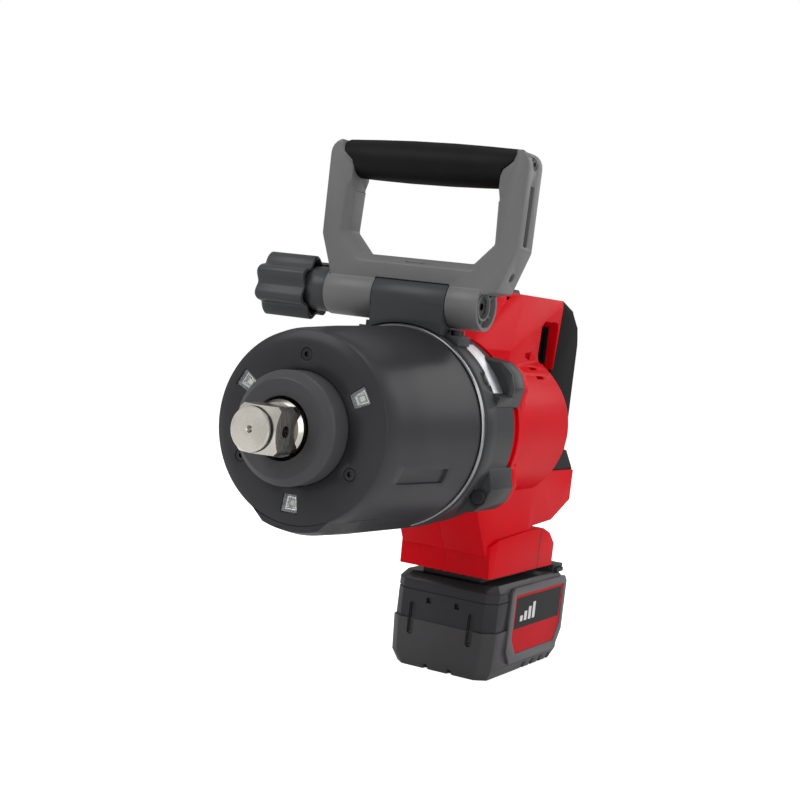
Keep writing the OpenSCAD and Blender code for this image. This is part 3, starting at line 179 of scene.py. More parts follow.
def makeTurning():
    # rings that a lathe tool leaves round the anvil's axis
    group, taken, given = newGroup(
        "turning marks",
        [("Pitch", floatSocket, 0.00035), ("Scatter", floatSocket, 0.5)],
        [("Height", floatSocket), ("Shine", floatSocket)])
    split = group.nodes.new("ShaderNodeSeparateXYZ")
    place = group.nodes.new("ShaderNodeTexCoord").outputs["Object"]
    group.links.new(place, split.inputs["Vector"])
    across = split.outputs["X"]
    up = sums(group, "SUBTRACT", split.outputs["Z"], axisHeight)
    upSquare = sums(group, "MULTIPLY", up, up)
    acrossSquare = sums(group, "MULTIPLY", across, across)
    radius = sums(group, "SQRT", sums(group, "ADD", upSquare, acrossSquare))
    reach = sums(group, "ADD", radius, split.outputs["Y"])
    run = sums(group, "DIVIDE", reach, taken.outputs["Pitch"])
    path = group.nodes.new("ShaderNodeCombineXYZ")
    group.links.new(run, path.inputs["X"])
    scatter = noise(group, 0.7, 4.0, path.outputs["Vector"], 0.7)
    ring = sums(group, "SINE", sums(group, "MULTIPLY", run, 2 * math.pi))
    rough = sums(group, "MULTIPLY", scatter, taken.outputs["Scatter"])
    both = sums(group, "ADD", sums(group, "MULTIPLY", ring, 0.3), rough)
    group.links.new(both, given.inputs["Height"])
    group.links.new(scatter, given.inputs["Shine"])
    return group


def makeCasting():
    # shot-blasted die casting: round pits over a finer roughness
    group, taken, given = newGroup(
        "casting skin", [("Size", floatSocket, 1500.0)],
        [("Height", floatSocket), ("Shade", floatSocket)])
    place = group.nodes.new("ShaderNodeTexCoord").outputs["Object"]
    cells = group.nodes.new("ShaderNodeTexVoronoi")
    feed(group, taken.outputs["Size"], cells.inputs["Scale"])
    group.links.new(place, cells.inputs["Vector"])
    rough = noise(group, 420.0, 3.0, place)
    group.links.new(sums(group, "ADD", cells.outputs["Distance"], rough), given.inputs["Height"])
    group.links.new(rough, given.inputs["Shade"])
    return group


def makeStipple():
    # raised dots that rubber grips carry
    group, taken, given = newGroup(
        "rubber stipple",
        [("Size", floatSocket, 900.0), ("Lint", floatSocket, 0.2)],
        [("Height", floatSocket), ("Shine", floatSocket)])
    place = group.nodes.new("ShaderNodeTexCoord").outputs["Object"]
    dots = group.nodes.new("ShaderNodeTexVoronoi")
    dots.feature = "SMOOTH_F1"
    dots.inputs["Randomness"].default_value = 0.55
    feed(group, taken.outputs["Size"], dots.inputs["Scale"])
    group.links.new(place, dots.inputs["Vector"])
    dot = stretch(group, dots.outputs["Distance"], 0.2, 0.6, 1.0, 0.0)
    lint = sums(group, "MULTIPLY", noise(group, 2600.0, 2.0, place), taken.outputs["Lint"])
    group.links.new(sums(group, "ADD", dot, lint), given.inputs["Height"])
    group.links.new(stretch(group, noise(group, 30.0, 3.0, place), 0.3, 0.7), given.inputs["Shine"])
    return group


grainGroup, driftGroup, turningGroup = makeGrain(), makeDrift(), makeTurning()
castingGroup, stippleGroup = makeCasting(), makeStipple()
print("shared effects ready")


def placeGroup(tree, group, **values):
    node = tree.nodes.new("ShaderNodeGroup")
    node.node_tree = group
    for label, value in values.items():
        node.inputs[label].default_value = value
    return node


def raiseSurface(tree, skin, height, depth):
    bump = tree.nodes.new("ShaderNodeBump")
    bump.inputs["Strength"].default_value = 1.0
    bump.inputs["Distance"].default_value = depth
    tree.links.new(height, bump.inputs["Height"])
    tree.links.new(bump.outputs["Normal"], skin.inputs["Normal"])


def varyGloss(tree, skin, mask, low, high, smooth, dull):
    # roughness between two values, where the mask runs from low to high
    tree.links.new(stretch(tree, mask, low, high, smooth, dull), skin.inputs["Roughness"])


def varyTone(tree, skin, base, factor, size):
    # the base colour with patches of a darker tone
    tone = placeGroup(tree, driftGroup, Colour=base, Other=shade(base, factor), Size=size)
    tree.links.new(tone.outputs["Colour"], skin.inputs["Base Color"])


def colour(r, g, b):
    return (r, g, b, 1.0)


def shade(base, factor):
    return tuple(c * factor for c in base[:3]) + (1.0,)


def mouldedPlastic(name, base, rough, grain=1800.0, depth=0.00003, gloss=0.24):
    # the shine is a thin coat, so that faces seen at a slant keep their colour
    settings = {"Specular IOR Level": 0.0, "Coat Weight": gloss, "Coat Roughness": 0.3}
    mat, tree, skin = newMaterial(name, **settings)
    varyTone(tree, skin, base, 0.88, 13.0)
    pits = placeGroup(tree, grainGroup, Size=grain, Unevenness=0.4)
    raiseSurface(tree, skin, pits.outputs["Height"], depth)
    varyGloss(tree, skin, pits.outputs["Shine"], 0.2, 0.8, rough - 0.05, rough + 0.07)
    return mat


def rubberMaterial(name, base, size=900.0, depth=0.00006, rough=0.62):
    settings = {"Specular IOR Level": 0.0, "Coat Weight": 0.14, "Coat Roughness": 0.5}
    mat, tree, skin = newMaterial(name, **settings)
    varyTone(tree, skin, base, 0.75, 22.0)
    dots = placeGroup(tree, stippleGroup, Size=size, Lint=0.3)
    raiseSurface(tree, skin, dots.outputs["Height"], depth)
    varyGloss(tree, skin, dots.outputs["Shine"], 0.0, 1.0, rough - 0.06, rough + 0.08)
    return mat


def turnedMetal(name, base, rough, pitch=0.0004, depth=0.00001):
    mat, tree, skin = newMaterial(name, **{"Metallic": 1.0, "Anisotropic": 0.4})
    marks = placeGroup(tree, turningGroup, Pitch=pitch, Scatter=0.8)
    varyTone(tree, skin, base, 0.82, 60.0)
    raiseSurface(tree, skin, marks.outputs["Height"], depth)
    varyGloss(tree, skin, marks.outputs["Shine"], 0.3, 0.7, rough - 0.06, rough + 0.08)
    return mat


def castMetal(name, base, rough, size=1500.0, depth=0.00005):
    mat, tree, skin = newMaterial(name, **{"Metallic": 0.9})
    pits = placeGroup(tree, castingGroup, Size=size)
    tone = mixColour(tree, pits.outputs["Shade"], base, shade(base, 0.8))
    tree.links.new(tone, skin.inputs["Base Color"])
    raiseSurface(tree, skin, pits.outputs["Height"], depth)
    varyGloss(tree, skin, pits.outputs["Shade"], 0.3, 0.7, rough - 0.05, rough + 0.08)
    return mat


def lensMaterial():
    # thin clear cover: mostly see-through, with its own shine
    mat, tree, skin = newMaterial("clear lens", **{"Alpha": 0.16, "IOR": 1.46})
    skin.inputs["Base Color"].default_value = colour(0.8, 0.82, 0.84)
    pits = placeGroup(tree, grainGroup, Size=700.0, Unevenness=0.2)
    varyGloss(tree, skin, pits.outputs["Shine"], 0.2, 0.8, 0.02, 0.07)
    return mat


# plastics: name, colour, roughness, grain size, grain depth in m
charcoal = mouldedPlastic("charcoal moulding", colour(0.034, 0.034, 0.037), 0.36, 1500.0, 0.00002)
bossGrey = mouldedPlastic("boss moulding", colour(0.062, 0.062, 0.066), 0.36, 1500.0, 0.00002)
signalRed = mouldedPlastic("signal red moulding", colour(0.62, 0.0022, 0.0085), 0.4, 2200.0,
                           0.000012, gloss=0.13)
frameGrey = mouldedPlastic("handle grey moulding", colour(0.165, 0.165, 0.167), 0.46, 1300.0,
                           0.00003)
sleeveGrey = mouldedPlastic("sleeve moulding", colour(0.05, 0.053, 0.056), 0.42, 1300.0, 0.00003)
collarGrey = mouldedPlastic("knob moulding", colour(0.058, 0.06, 0.063), 0.44, 1300.0, 0.00003)
bootGrey = mouldedPlastic("boot moulding", colour(0.032, 0.033, 0.035), 0.42, 1500.0, 0.00002)
inkBlack = mouldedPlastic("black moulding", colour(0.01, 0.01, 0.012), 0.36, 1700.0, 0.00002)
packGrey = mouldedPlastic("pack case moulding", colour(0.058, 0.058, 0.061), 0.38, 1300.0, 0.00003)
packBlack = mouldedPlastic("pack top moulding", colour(0.03, 0.03, 0.033), 0.36, 1300.0, 0.00003)
bezelGrey = mouldedPlastic("bezel moulding", colour(0.115, 0.115, 0.122), 0.4, 1500.0, 0.00002)
labelRed = mouldedPlastic("label red print", colour(0.52, 0.003, 0.01), 0.3, 600.0, 0.000004,
                          gloss=0.15)
labelBlack = mouldedPlastic("label black print", colour(0.007, 0.007, 0.008), 0.26, 600.0,
                            0.000004, gloss=0.2)
labelPale = mouldedPlastic("label pale print", colour(0.72, 0.72, 0.72), 0.3, 600.0, 0.000004)
boardGreen = mouldedPlastic("board lacquer", colour(0.012, 0.09, 0.035), 0.3, 900.0, 0.00002)
cellBlue = mouldedPlastic("cell wrap", colour(0.03, 0.1, 0.3), 0.35, 800.0, 0.00001)
chipYellow = mouldedPlastic("lamp chip", colour(0.86, 0.84, 0.66), 0.3, 900.0, 0.000004)
lampGlass = lensMaterial()

# rubbers: name, colour, dot size, dot height in m
gripRubber = rubberMaterial("grip rubber", colour(0.009, 0.0092, 0.0098), 1400.0, 0.00003)
loopRubber = rubberMaterial("loop grip rubber", colour(0.0075, 0.0075, 0.008), 1100.0, 0.00004)
sealRubber = rubberMaterial("seal rubber", colour(0.008, 0.008, 0.008), 1800.0, 0.00001, 0.5)

# metals: name, colour, roughness, pitch of the turning marks or size of the pits
anvilSteel = turnedMetal("anvil steel", colour(0.40, 0.38, 0.345), 0.26, 0.0009, 0.000004)
plainSteel = turnedMetal("plain steel", colour(0.38, 0.38, 0.38), 0.3, 0.0006)
ringSteel = turnedMetal("bearing steel", colour(0.42, 0.42, 0.43), 0.26, 0.0005)
bandSteel = turnedMetal("retaining ring steel", colour(0.16, 0.16, 0.165), 0.24, 0.0005)
darkSteel = turnedMetal("black oxide steel", colour(0.03, 0.03, 0.034), 0.36, 0.0006)
bronze = turnedMetal("sintered bronze", colour(0.4, 0.24, 0.09), 0.45, 0.0005)
copper = turnedMetal("enamelled copper", colour(0.5, 0.18, 0.06), 0.3, 0.0008)
mirrorMetal = castMetal("lamp reflector coating", colour(0.72, 0.73, 0.75), 0.16, 900.0, 0.000004)
caseMetal = castMetal("gear case casting", colour(0.52, 0.53, 0.55), 0.36)
print("materials ready")


def solidFrom(bm, name):
    bmesh.ops.recalc_face_normals(bm, faces=bm.faces)
    mesh = bpy.data.meshes.new(name)
    bm.to_mesh(mesh)
    bm.free()
    solid = bpy.data.objects.new(name, mesh)
    bpy.context.scene.collection.objects.link(solid)
    return solid


def loft(rings, along, origin=toolOrigin, name="blank"):
    # joins outlines, given in mm as (height, points), along one axis
    turnTo = {
        "x": lambda h, a, b: (h, a, b),
        "y": lambda h, a, b: (a, h, b),
        "z": lambda h, a, b: (a, b, h),
    }[along]
    bm = bmesh.new()
    rows = []
    for h, outline in rings:
        rows.append([bm.verts.new(origin + Vector(turnTo(h, a, b)) * mm) for a, b in outline])
    bm.faces.new(rows[0])
    bm.faces.new(rows[-1])
    for low, high in zip(rows, rows[1:]):
        for i in range(len(low)):
            j = (i + 1) % len(low)
            bm.faces.new((low[i], low[j], high[j], high[i]))
    return solidFrom(bm, name)


def prism(outline, along, low, high, origin=toolOrigin, name="blank"):
    return loft([(low, outline), (high, outline)], along, origin, name)


def block(low, high, origin=toolOrigin):
    (x0, y0, z0), (x1, y1, z1) = low, high
    return prism([(y0, z0), (y1, z0), (y1, z1), (y0, z1)], "x", x0, x1, origin)


def square(half):
    return [(-half, -half), (half, -half), (half, half), (-half, half)]


def circle(radius, centre=(0, 0), steps=48):
    turns = (2 * math.pi * i / steps for i in range(steps))
    return [(centre[0] + radius * math.cos(a), centre[1] + radius * math.sin(a)) for a in turns]


def lathe(profile, along, centre, name="blank", steps=64):
    # a turned shape: profile points are (radius, height)
    return loft([(h, circle(r, centre, steps)) for r, h in profile], along, toolOrigin, name)


def rounded(points, radii, steps=5):
    # an outline with its corners rounded off; a straight corner stays as it is
    straight, share = 3.12, 0.48        # in radians; of the shorter neighbouring side
    out = []
    for i, point in enumerate(points):
        here = Vector(point)
        one, two = Vector(points[i - 1]) - here, Vector(points[(i + 1) % len(points)]) - here
        radius = radii[i] if isinstance(radii, (list, tuple)) else radii
        turn = one.angle(two)
        if radius <= 0 or turn > straight:
            out.append(tuple(here))
            continue
        reach = min(radius / math.tan(turn / 2), one.length * share, two.length * share)
        radius = reach * math.tan(turn / 2)
        middle = (one.normalized() + two.normalized()).normalized()
        centre = here + middle * radius / math.sin(turn / 2)
        start = here + one.normalized() * reach - centre
        end = here + two.normalized() * reach - centre
        first = math.atan2(start.y, start.x)
        sweep = (math.atan2(end.y, end.x) - first + math.pi) % (2 * math.pi) - math.pi
        for k in range(steps + 1):
            angle = first + sweep * k / steps
            out.append((centre.x + radius * math.cos(angle), centre.y + radius * math.sin(angle)))
    return out


def grown(points, step):
    # a convex outline, given anticlockwise, moved outward by one step
    sharpest = 0.3                      # keeps a pointed corner from running far out
    out = []
    for i, point in enumerate(points):
        here = Vector(point)
        into = (here - Vector(points[i - 1])).normalized()
        away = (Vector(points[(i + 1) % len(points)]) - here).normalized()
        normals = Vector((into.y, -into.x)), Vector((away.y, -away.x))
        middle = (normals[0] + normals[1]).normalized()
        out.append(tuple(here + middle * step / max(sharpest, middle.dot(normals[0]))))
    return out


def spokes(angles, near, far, half, centre, low, high):
    # flat ribs that stand out from a hub on the pivot's axis
    ribs = []
    for angle in angles:
        along = Vector((math.cos(angle), math.sin(angle)))
        across = Vector((-math.sin(angle), math.cos(angle))) * half
        corners = [along * near + across, along * near - across,
                   along * far - across, along * far + across]
        ribs.append(prism([(centre[0] + c.x, centre[1] + c.y) for c in corners], "x", low, high))
    return ribs


def applyModifiers(piece):
    bpy.context.view_layer.update()
    built = piece.evaluated_get(bpy.context.evaluated_depsgraph_get())
    shaped = bpy.data.meshes.new_from_object(built)
    shaped.name = piece.data.name
    piece.modifiers.clear()
    piece.data = shaped


def carve(piece, cut=(), add=(), keep=()):
    # joins, cuts and crops a piece with other solids, which are used up
    for operation, others in (("UNION", add), ("DIFFERENCE", cut), ("INTERSECT", keep)):
        for other in others:
            step = piece.modifiers.new("carve", "BOOLEAN")
            step.operation = operation
            step.solver = "EXACT"
            step.object = other
    applyModifiers(piece)
    for other in (*add, *cut, *keep):
        bpy.data.objects.remove(other, do_unlink=True)
    return piece


finish = {                  # how meshes are cleaned and smoothed
    "weld": 2e-6,                       # m
    "flat": 0.4,                        # degrees between two triangles that are joined
    "shape": 175,                       # degrees
    "sharp": 38.0,                      # degrees from which an edge is shown sharp
}


def tidyMesh(mesh):
    # welds doubled points and joins flat triangles in pairs
    bm = bmesh.new()
    bm.from_mesh(mesh)
    bmesh.ops.remove_doubles(bm, verts=bm.verts, dist=finish["weld"])
    bmesh.ops.join_triangles(bm, faces=bm.faces, angle_face_threshold=math.radians(finish["flat"]),
                             angle_shape_threshold=math.radians(finish["shape"]))
    bm.to_mesh(mesh)
    bm.free()
    if "custom_normal" in mesh.attributes:
        mesh.attributes.remove(mesh.attributes["custom_normal"])


def bareCopy(node, name):
    mesh = nodes[node].data.copy()
    mesh.name = name
    tidyMesh(mesh)
    piece = bpy.data.objects.new(name, mesh)
    bpy.context.scene.collection.objects.link(piece)
    return piece


def weighEdges(mesh, angle, spared):
    # marks the edges to round, apart from those whose middle lies in a spared box
    bm = bmesh.new()
    bm.from_mesh(mesh)
    layers = bm.edges.layers.float
    weight = layers.get("bevel_weight_edge") or layers.new("bevel_weight_edge")
    for edge in bm.edges:
        middle = (edge.verts[0].co + edge.verts[1].co) / 2 / mm
        boxed = any(all(a < c < b for a, c, b in zip(low, middle, high)) for low, high in spared)
        bent = edge.is_manifold and edge.calc_face_angle() > math.radians(angle)
        edge[weight] = 1.0 if bent and not boxed else 0.0
    bm.to_mesh(mesh)
    bm.free()


def roundEdges(piece, radius, segments=2, angle=30.0, spared=()):
    # a radius of 0 only sets the smooth shading
    if radius > 0:
        if spared:
            weighEdges(piece.data, angle, spared)
        soft = piece.modifiers.new("rounded edges", "BEVEL")
        soft.width = radius * mm
        soft.segments = segments
        soft.limit_method = "WEIGHT" if spared else "ANGLE"
        soft.angle_limit = math.radians(angle)
        soft.use_clamp_overlap = False
        soft.miter_outer = "MITER_ARC"
        applyModifiers(piece)
    piece.data.shade_smooth()
    piece.data.set_sharp_from_angle(angle=math.radians(finish["sharp"]))
    return piece


def giveFinish(piece, node, material):
    # the piece's material and the body it moves with
    piece.data.materials.clear()
    piece.data.materials.append(material)
    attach(piece, nodes[node]["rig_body"])
    return piece


def finishPiece(piece, node, material):
    # a piece that stands in its CAD node's place
    giveFinish(piece, node, material)
    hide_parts(node)
    return piece


def addedPiece(piece, name, node, material):
    # a small extra piece that moves with a node's body
    piece.name = piece.data.name = name
    return giveFinish(piece, node, material)


def softenedPiece(node, name, material, radius):
    return finishPiece(roundEdges(bareCopy(node, name), radius), node, material)


def dressNode(node, material):
    # a CAD node that keeps its own mesh and gets its finish
    data = nodes[node].data
    data.materials.clear()
    data.materials.append(material)


softened = {                # node: (piece name, material, radius in mm)
    "nose_boss": ("noseBossRing", bossGrey, 0.5),
    "gearcase_boot": ("gearCaseBoot", bootGrey, 0.4),
    "handle_base": ("middleSleeve", sleeveGrey, 0.3),
    "handle_collar": ("knobCollar", collarGrey, 0.4),
    "battery_bezels": ("packBezels", bezelGrey, 0.25),
    "grip_overmold": ("gripOvermould", gripRubber, 0.6),
    "direction_lever": ("directionLever", sleeveGrey, 0.3),
    "trigger": ("triggerPaddle", inkBlack, 0.5),
    "control_panel": ("footPanel", inkBlack, 0.2),
}
for node, (name, material, radius) in softened.items():
    softenedPiece(node, name, material, radius)
print("rounded pieces ready:", len(softened))

dressed = {                 # node: material
    "anvil": anvilSteel, "nose_screws": darkSteel, "led_board": boardGreen,
    "hammer_case": caseMetal, "retaining_ring": bandSteel, "case_screws": darkSteel,
    "friction_ring": darkSteel, "anvil_bushing": bronze, "shaft_seal": sealRubber,
    "anvil_o_ring": sealRubber, "hammer": plainSteel, "cam_balls": ringSteel,
    "camshaft": plainSteel, "planet_pins": plainSteel, "planet_gear_1": plainSteel,
    "planet_gear_2": plainSteel, "planet_gear_3": plainSteel, "ring_gear": plainSteel,
    "gear_plate": caseMetal, "front_bearing": ringSteel, "rear_bearing": ringSteel,
    "rotor": darkSteel, "stator": darkSteel, "stator_coils": copper, "fan": inkBlack,
    "housing_screws": darkSteel, "trigger_switch": inkBlack, "lever_seat": inkBlack,
    "mode_button": sleeveGrey, "control_board": boardGreen, "handle_base_bolts": darkSteel,
    "handle_plugs": sleeveGrey, "handle_bolt": darkSteel, "battery_cells": cellBlue,
    "latch_button_left": sleeveGrey, "latch_button_right": sleeveGrey,
    "gauge_button": sleeveGrey, "battery_shoe": inkBlack, "terminal_block": copper,
}
for node, material in dressed.items():
    dressNode(node, material)
print("dressed nodes:", len(dressed))


springs = {                 # node: (piece name, joint that shortens it, travel in mm)
    "hammer_spring": ("hammerSpringCoil", "hammer_slide", 11.0),
    "trigger_spring": ("triggerSpringCoil", "trigger_pull", 6.0),
}


def buildSpring(node, name):
    # a copy of the spring in plain steel, with a mesh of its own, in its node's place
    spring = softenedPiece(node, name, plainSteel, 0)
    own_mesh(spring)


for node, (name, joint, travel) in springs.items():
    buildSpring(node, name)
print("springs ready:", len(springs))


past = 1.0                  # mm that a cutter reaches past the face it cuts

noseCover = {               # mm
    "cone": [(55.6, -2), (57.2, 3), (59.4, 12), (60.8, 40), (62.4, 106)],     # radius, place
    "steps": 120,
    "soft": 0.5,
}


def buildNoseCover():
    # the cover with its chin rounded to a cone that widens towards the back
    cover = bareCopy("nose_cover", "noseCoverShell")
    carve(cover, keep=[lathe(noseCover["cone"], "y", (0, 0), steps=noseCover["steps"])])
    tidyMesh(cover.data)
    return finishPiece(roundEdges(cover, noseCover["soft"]), "nose_cover", charcoal)


buildNoseCover()
print("nose cover ready")


housing = {                 # both red halves, mm from the nose face and the anvil's axis
    "soft": 0.5,
    "opening": [(263, 50.5), (264.5, 70), (272, 73.8), (284, 73.8), (284, 44), (268, 44)],
    "openingCorners": [0, 3, 3, 0, 0, 0],
    "openingReach": (17.0, 30.0),       # sideways
    # footSeamShade: outline of the black strip that paints the joint line's shadow
    "footSeamShade": [(284.6, -98.8), (285.9, -98.8), (285.9, -76), (287.6, -71.2),
                 (286.2, -71.2), (284.6, -75.6)],
    "footFlank": 34.0,
    "seamDepth": (-0.4, 0.06),          # from the flank, inward and proud
}
frontPad = {                # rubber on the front of the rear grip, mm
    "plate": ((-12.6, 304.2, -16), (12.6, 305.25, 70)),
    "room": ((-9, 303, 26), (9, 307, 67)),      # for the trigger
    "soft": 0.2,
}


def housingHalf(node, name, side):
    near, far = sorted(side * x for x in housing["openingReach"])
    opening = prism(rounded(housing["opening"], housing["openingCorners"]), "x", near, far)
    shell = carve(bareCopy(node, name), cut=[opening])
    tidyMesh(shell.data)
    return finishPiece(roundEdges(shell, housing["soft"]), node, signalRed)


def buildFootSeamShades():
    # a black strip on both flanks of the foot: painted shade standing in for the shadow in the joint
    # line's groove
    for index, (node, side) in enumerate((("housing_left", 1), ("housing_right", -1))):
        near, far = sorted(side * (housing["footFlank"] + depth) for depth in housing["seamDepth"])
        seam = prism(housing["footSeamShade"], "x", near, far)
        addedPiece(seam, "footSeamShade" + str(index + 1), node, inkBlack)


def buildFrontPad():
    pad = carve(block(*frontPad["plate"]), cut=[block(*frontPad["room"])])
    addedPiece(roundEdges(pad, frontPad["soft"]), "gripFrontPad", "grip_overmold", gripRubber)


housingHalf("housing_left", "leftHousingShell", 1)
housingHalf("housing_right", "rightHousingShell", -1)
buildFootSeamShades()
buildFrontPad()
print("housing ready")


loop = {                    # the loop handle, mm from the nose face and the anvil's axis
    "pivot": (122.0, 77.4),             # back from the nose, up from the axis
    "outline": [(45.6, 84), (57, 86.5), (66.5, 112), (67, 171),
                (-67, 171), (-66.5, 112), (-57, 86.5), (-45.6, 84)],
    "corners": [0, 4, 7, 9, 9, 7, 4, 0],
    "hole": [(-38, 102), (38, 102), (50, 114.6), (49, 141),
             (45, 147), (-45, 147), (-49, 141), (-50, 114.6)],
    "holeCorner": 3.0,
    "depth": 22.0,
    "chamfer": (4.5, 4.0),              # wide, deep
    "middle": 25.3,                     # half of the room for the fixed sleeve
    "sleeve": 14.7,
    "sleeveGap": 0.4,
    "saddle": (20.0, 50.0, 11.0),       # half length, bottom, rise above the pivot
    "ends": (-59.4, 46.6),
    "boltBore": 5.3,
    "boltSink": (7.2, 8.0),             # radius, depth
    "steps": 72,
    "notch": (6.0, 99.4, 104.0, 2.0),   # half width, bottom, top, depth
    "zigzag": [(58.5, 178), (58.5, 168), (56.8, 163.5), (50.6, 158.5), (49.4, 154.5), (49.4, 140)],
    "rubberGap": 0.4,
    "gripUp": 160.2,
    "core": 9.5,
    "coreHalf": 61.0,
    "outside": 72.0,                    # beyond both legs
    "plug": (3.6, 60.6, 163.6),         # radius, floor, height
    "rivet": (2.6, 50.0, 96.4),         # radius, floor, height
    "slot": (115.0, 150.5),
    "slotHalf": 2.6,
    "slotFloor": 62.5,
    "soft": 0.6,
}
cup = {                     # the open, ribbed end of the handle's sleeve, mm
    "radius": 12.4,
    "deep": 12.0,
    "hub": (8.8, 1.5),                  # radius, set back from the end
    "ribs": 6,
    "ribReach": (8.0, 13.0),
    "ribHalf": 0.9,
    "ribBack": 2.2,
}
loopGrip = {                # the rubber on the top bar, mm
    "profile": [(11.6, -61), (12.5, -36), (13, -14), (13, 14), (12.5, 36), (11.6, 61)],
    "reach": 15.0,
    "half": 70.0,
    "coreGap": 0.05,
    "soft": (0.7, 3, 40.0),             # radius, segments, degrees
}


def rubberRoom(gap):
    # the stretch of the top bar that the rubber fills, with its zigzag ends
    side = loop["zigzag"]
    return [(x + gap, z) for x, z in side] + [(-x - gap, z) for x, z in reversed(side)]


def sleeveCup(end, centre):
    # ribbed ring gap in the open end of the sleeve
    floor = end - cup["deep"]
    hubRadius, hubBack = cup["hub"]
    gap = prism(circle(cup["radius"], centre), "x", floor, end + past)
    turn = 360 / cup["ribs"]
    angles = [math.radians(turn * i + turn / 2) for i in range(cup["ribs"])]
    ribs = spokes(angles, *cup["ribReach"], cup["ribHalf"], centre, floor - past,
                  end - cup["ribBack"])
    hub = prism(circle(hubRadius, centre), "x", floor - past, end - hubBack)
    return carve(gap, cut=[hub] + ribs)


def legCutters(side, back):
    # the slot, the plug's seat and the rivet hole in one leg's outer face
    outside = side * loop["outside"]
    (low, high), half = loop["slot"], loop["slotHalf"]
    x0, x1 = sorted((side * loop["slotFloor"], outside))
    plugRadius, plugFloor, plugUp = loop["plug"]
    rivetRadius, rivetFloor, rivetUp = loop["rivet"]
    n0, n1 = sorted((side * rivetFloor, outside))
    return [
        block((x0, back - half, low), (x1, back + half, high)),
        prism(circle(plugRadius, (back, plugUp), 32), "x", side * plugFloor, outside),
        prism(circle(rivetRadius, (back, rivetUp), 24), "x", n0, n1),
    ]


def buildLoopFrame():
    back, up = centre = loop["pivot"]
    front, rear = back - loop["depth"] / 2, back + loop["depth"] / 2
    wide, deep = loop["chamfer"]
    left, right = loop["ends"]
    middle, sleeve, steps = loop["middle"], loop["sleeve"], loop["steps"]
    saddleHalf, saddleLow, saddleRise = loop["saddle"]
    sinkRadius, sinkDepth = loop["boltSink"]
    notchHalf, notchLow, notchHigh, notchDepth = loop["notch"]
    hole = rounded(loop["hole"], loop["holeCorner"])
    rim = grown(hole, wide)
    outline = rounded(loop["outline"], loop["corners"])
    frameBody = prism(outline, "y", front, rear, name="loopFrame")
    carve(frameBody, cut=[
        prism(hole, "y", front - past, rear + past),
        loft([(front - 0.1, rim), (front + deep, hole)], "y"),
        loft([(rear - deep, hole), (rear + 0.1, rim)], "y"),
        prism(rubberRoom(loop["rubberGap"]), "y", front - past, rear + past),
        prism(circle(sleeve + loop["sleeveGap"], centre, steps), "x", -middle, middle),
        block((-middle, back - saddleHalf, saddleLow), (middle, back + saddleHalf, up + saddleRise)),
    ])
    barCentre, barHalf = (back, loop["gripUp"]), loop["coreHalf"]
    carve(frameBody, add=[
        prism(circle(loop["core"], barCentre), "x", -barHalf, barHalf),
        prism(circle(sleeve, centre, steps), "x", middle, right),
        prism(circle(sleeve, centre, steps), "x", left, -middle),
    ], cut=[
        prism(circle(loop["boltBore"], centre), "x", left - past, right + past),
        sleeveCup(right, centre),
        prism(circle(sinkRadius, centre), "x", right - sinkDepth, right + past),
        block((-notchHalf, front - past, notchLow), (notchHalf, front + notchDepth, notchHigh)),
    ])
    for side in (-1, 1):
        carve(frameBody, cut=legCutters(side, back))
    tidyMesh(frameBody.data)
    return finishPiece(roundEdges(frameBody, loop["soft"]), "handle_frame", frameGrey)


def buildLoopGrip():
    centre = (loop["pivot"][0], loop["gripUp"])
    reach, half = loopGrip["reach"], loopGrip["half"]
    sleeve = lathe(loopGrip["profile"], "x", centre, "loopGripSleeve", loop["steps"])
    carve(sleeve, keep=[prism(rubberRoom(0), "y", centre[0] - reach, centre[0] + reach)])
    core = circle(loop["core"] + loopGrip["coreGap"], centre)
    carve(sleeve, cut=[prism(core, "x", -half, half)])
    tidyMesh(sleeve.data)
    return finishPiece(roundEdges(sleeve, *loopGrip["soft"]), "loop_grip", loopRubber)


knob = {                    # the clamping knob on the pivot, mm
    "outer": -108.0,
    "inner": -72.0,
    "radius": 20.5,
    "rim": 2.2,                         # slope at the outer face
    "lobes": 7,
    "lobeDepth": 2.1,
    "lobeSteps": 84,
    "wall": 2.8,
    "roomLobes": 0.8,                   # share of the lobes inside
    "face": 7.0,                        # thickness of the outer face
    "hub": (8.4, 4.0, -79.3),           # radius, start from the outer face, end
    "ribReach": (7.0, 16.0),
    "ribHalf": 1.0,
    "ribAlong": (6.0, 26.0),            # from the outer face
    "bore": (5.0, 6.0),                 # radius, depth left and reach past
    "soft": 0.5,
}


def lobed(radius, depth, centre):
    # a round outline with the knob's waves
    out = []
    for i in range(knob["lobeSteps"]):
        angle = 2 * math.pi * i / knob["lobeSteps"]
        reach = radius - depth + depth * math.cos(knob["lobes"] * angle)
        out.append((centre[0] + reach * math.cos(angle), centre[1] + reach * math.sin(angle)))
    return out


def buildKnob():
    centre = loop["pivot"]
    inner, outer, radius, depth = (knob[k] for k in ("inner", "outer", "radius", "lobeDepth"))
    face = lobed(radius - knob["rim"], depth, centre)
    edge = lobed(radius, depth, centre)
    room = lobed(radius - knob["wall"], depth * knob["roomLobes"], centre)
    body = loft([(outer, face), (outer + knob["rim"], edge), (inner, edge)], "x", name="clampKnob")
    carve(body, cut=[prism(room, "x", outer + knob["face"], inner + past)])
    hubRadius, hubStart, hubEnd = knob["hub"]
    hub = prism(circle(hubRadius, centre), "x", outer + hubStart, hubEnd)
    angles = [2 * math.pi * (i + 0.5) / knob["lobes"] for i in range(knob["lobes"])]
    start, end = knob["ribAlong"]
    ribs = spokes(angles, *knob["ribReach"], knob["ribHalf"], centre, outer + start, outer + end)
    boreRadius, boreReach = knob["bore"]
    bore = prism(circle(boreRadius, centre), "x", outer + boreReach, inner + boreReach)
    carve(body, add=[hub] + ribs, cut=[bore])
    tidyMesh(body.data)
    return finishPiece(roundEdges(body, knob["soft"]), "handle_knob", collarGrey)


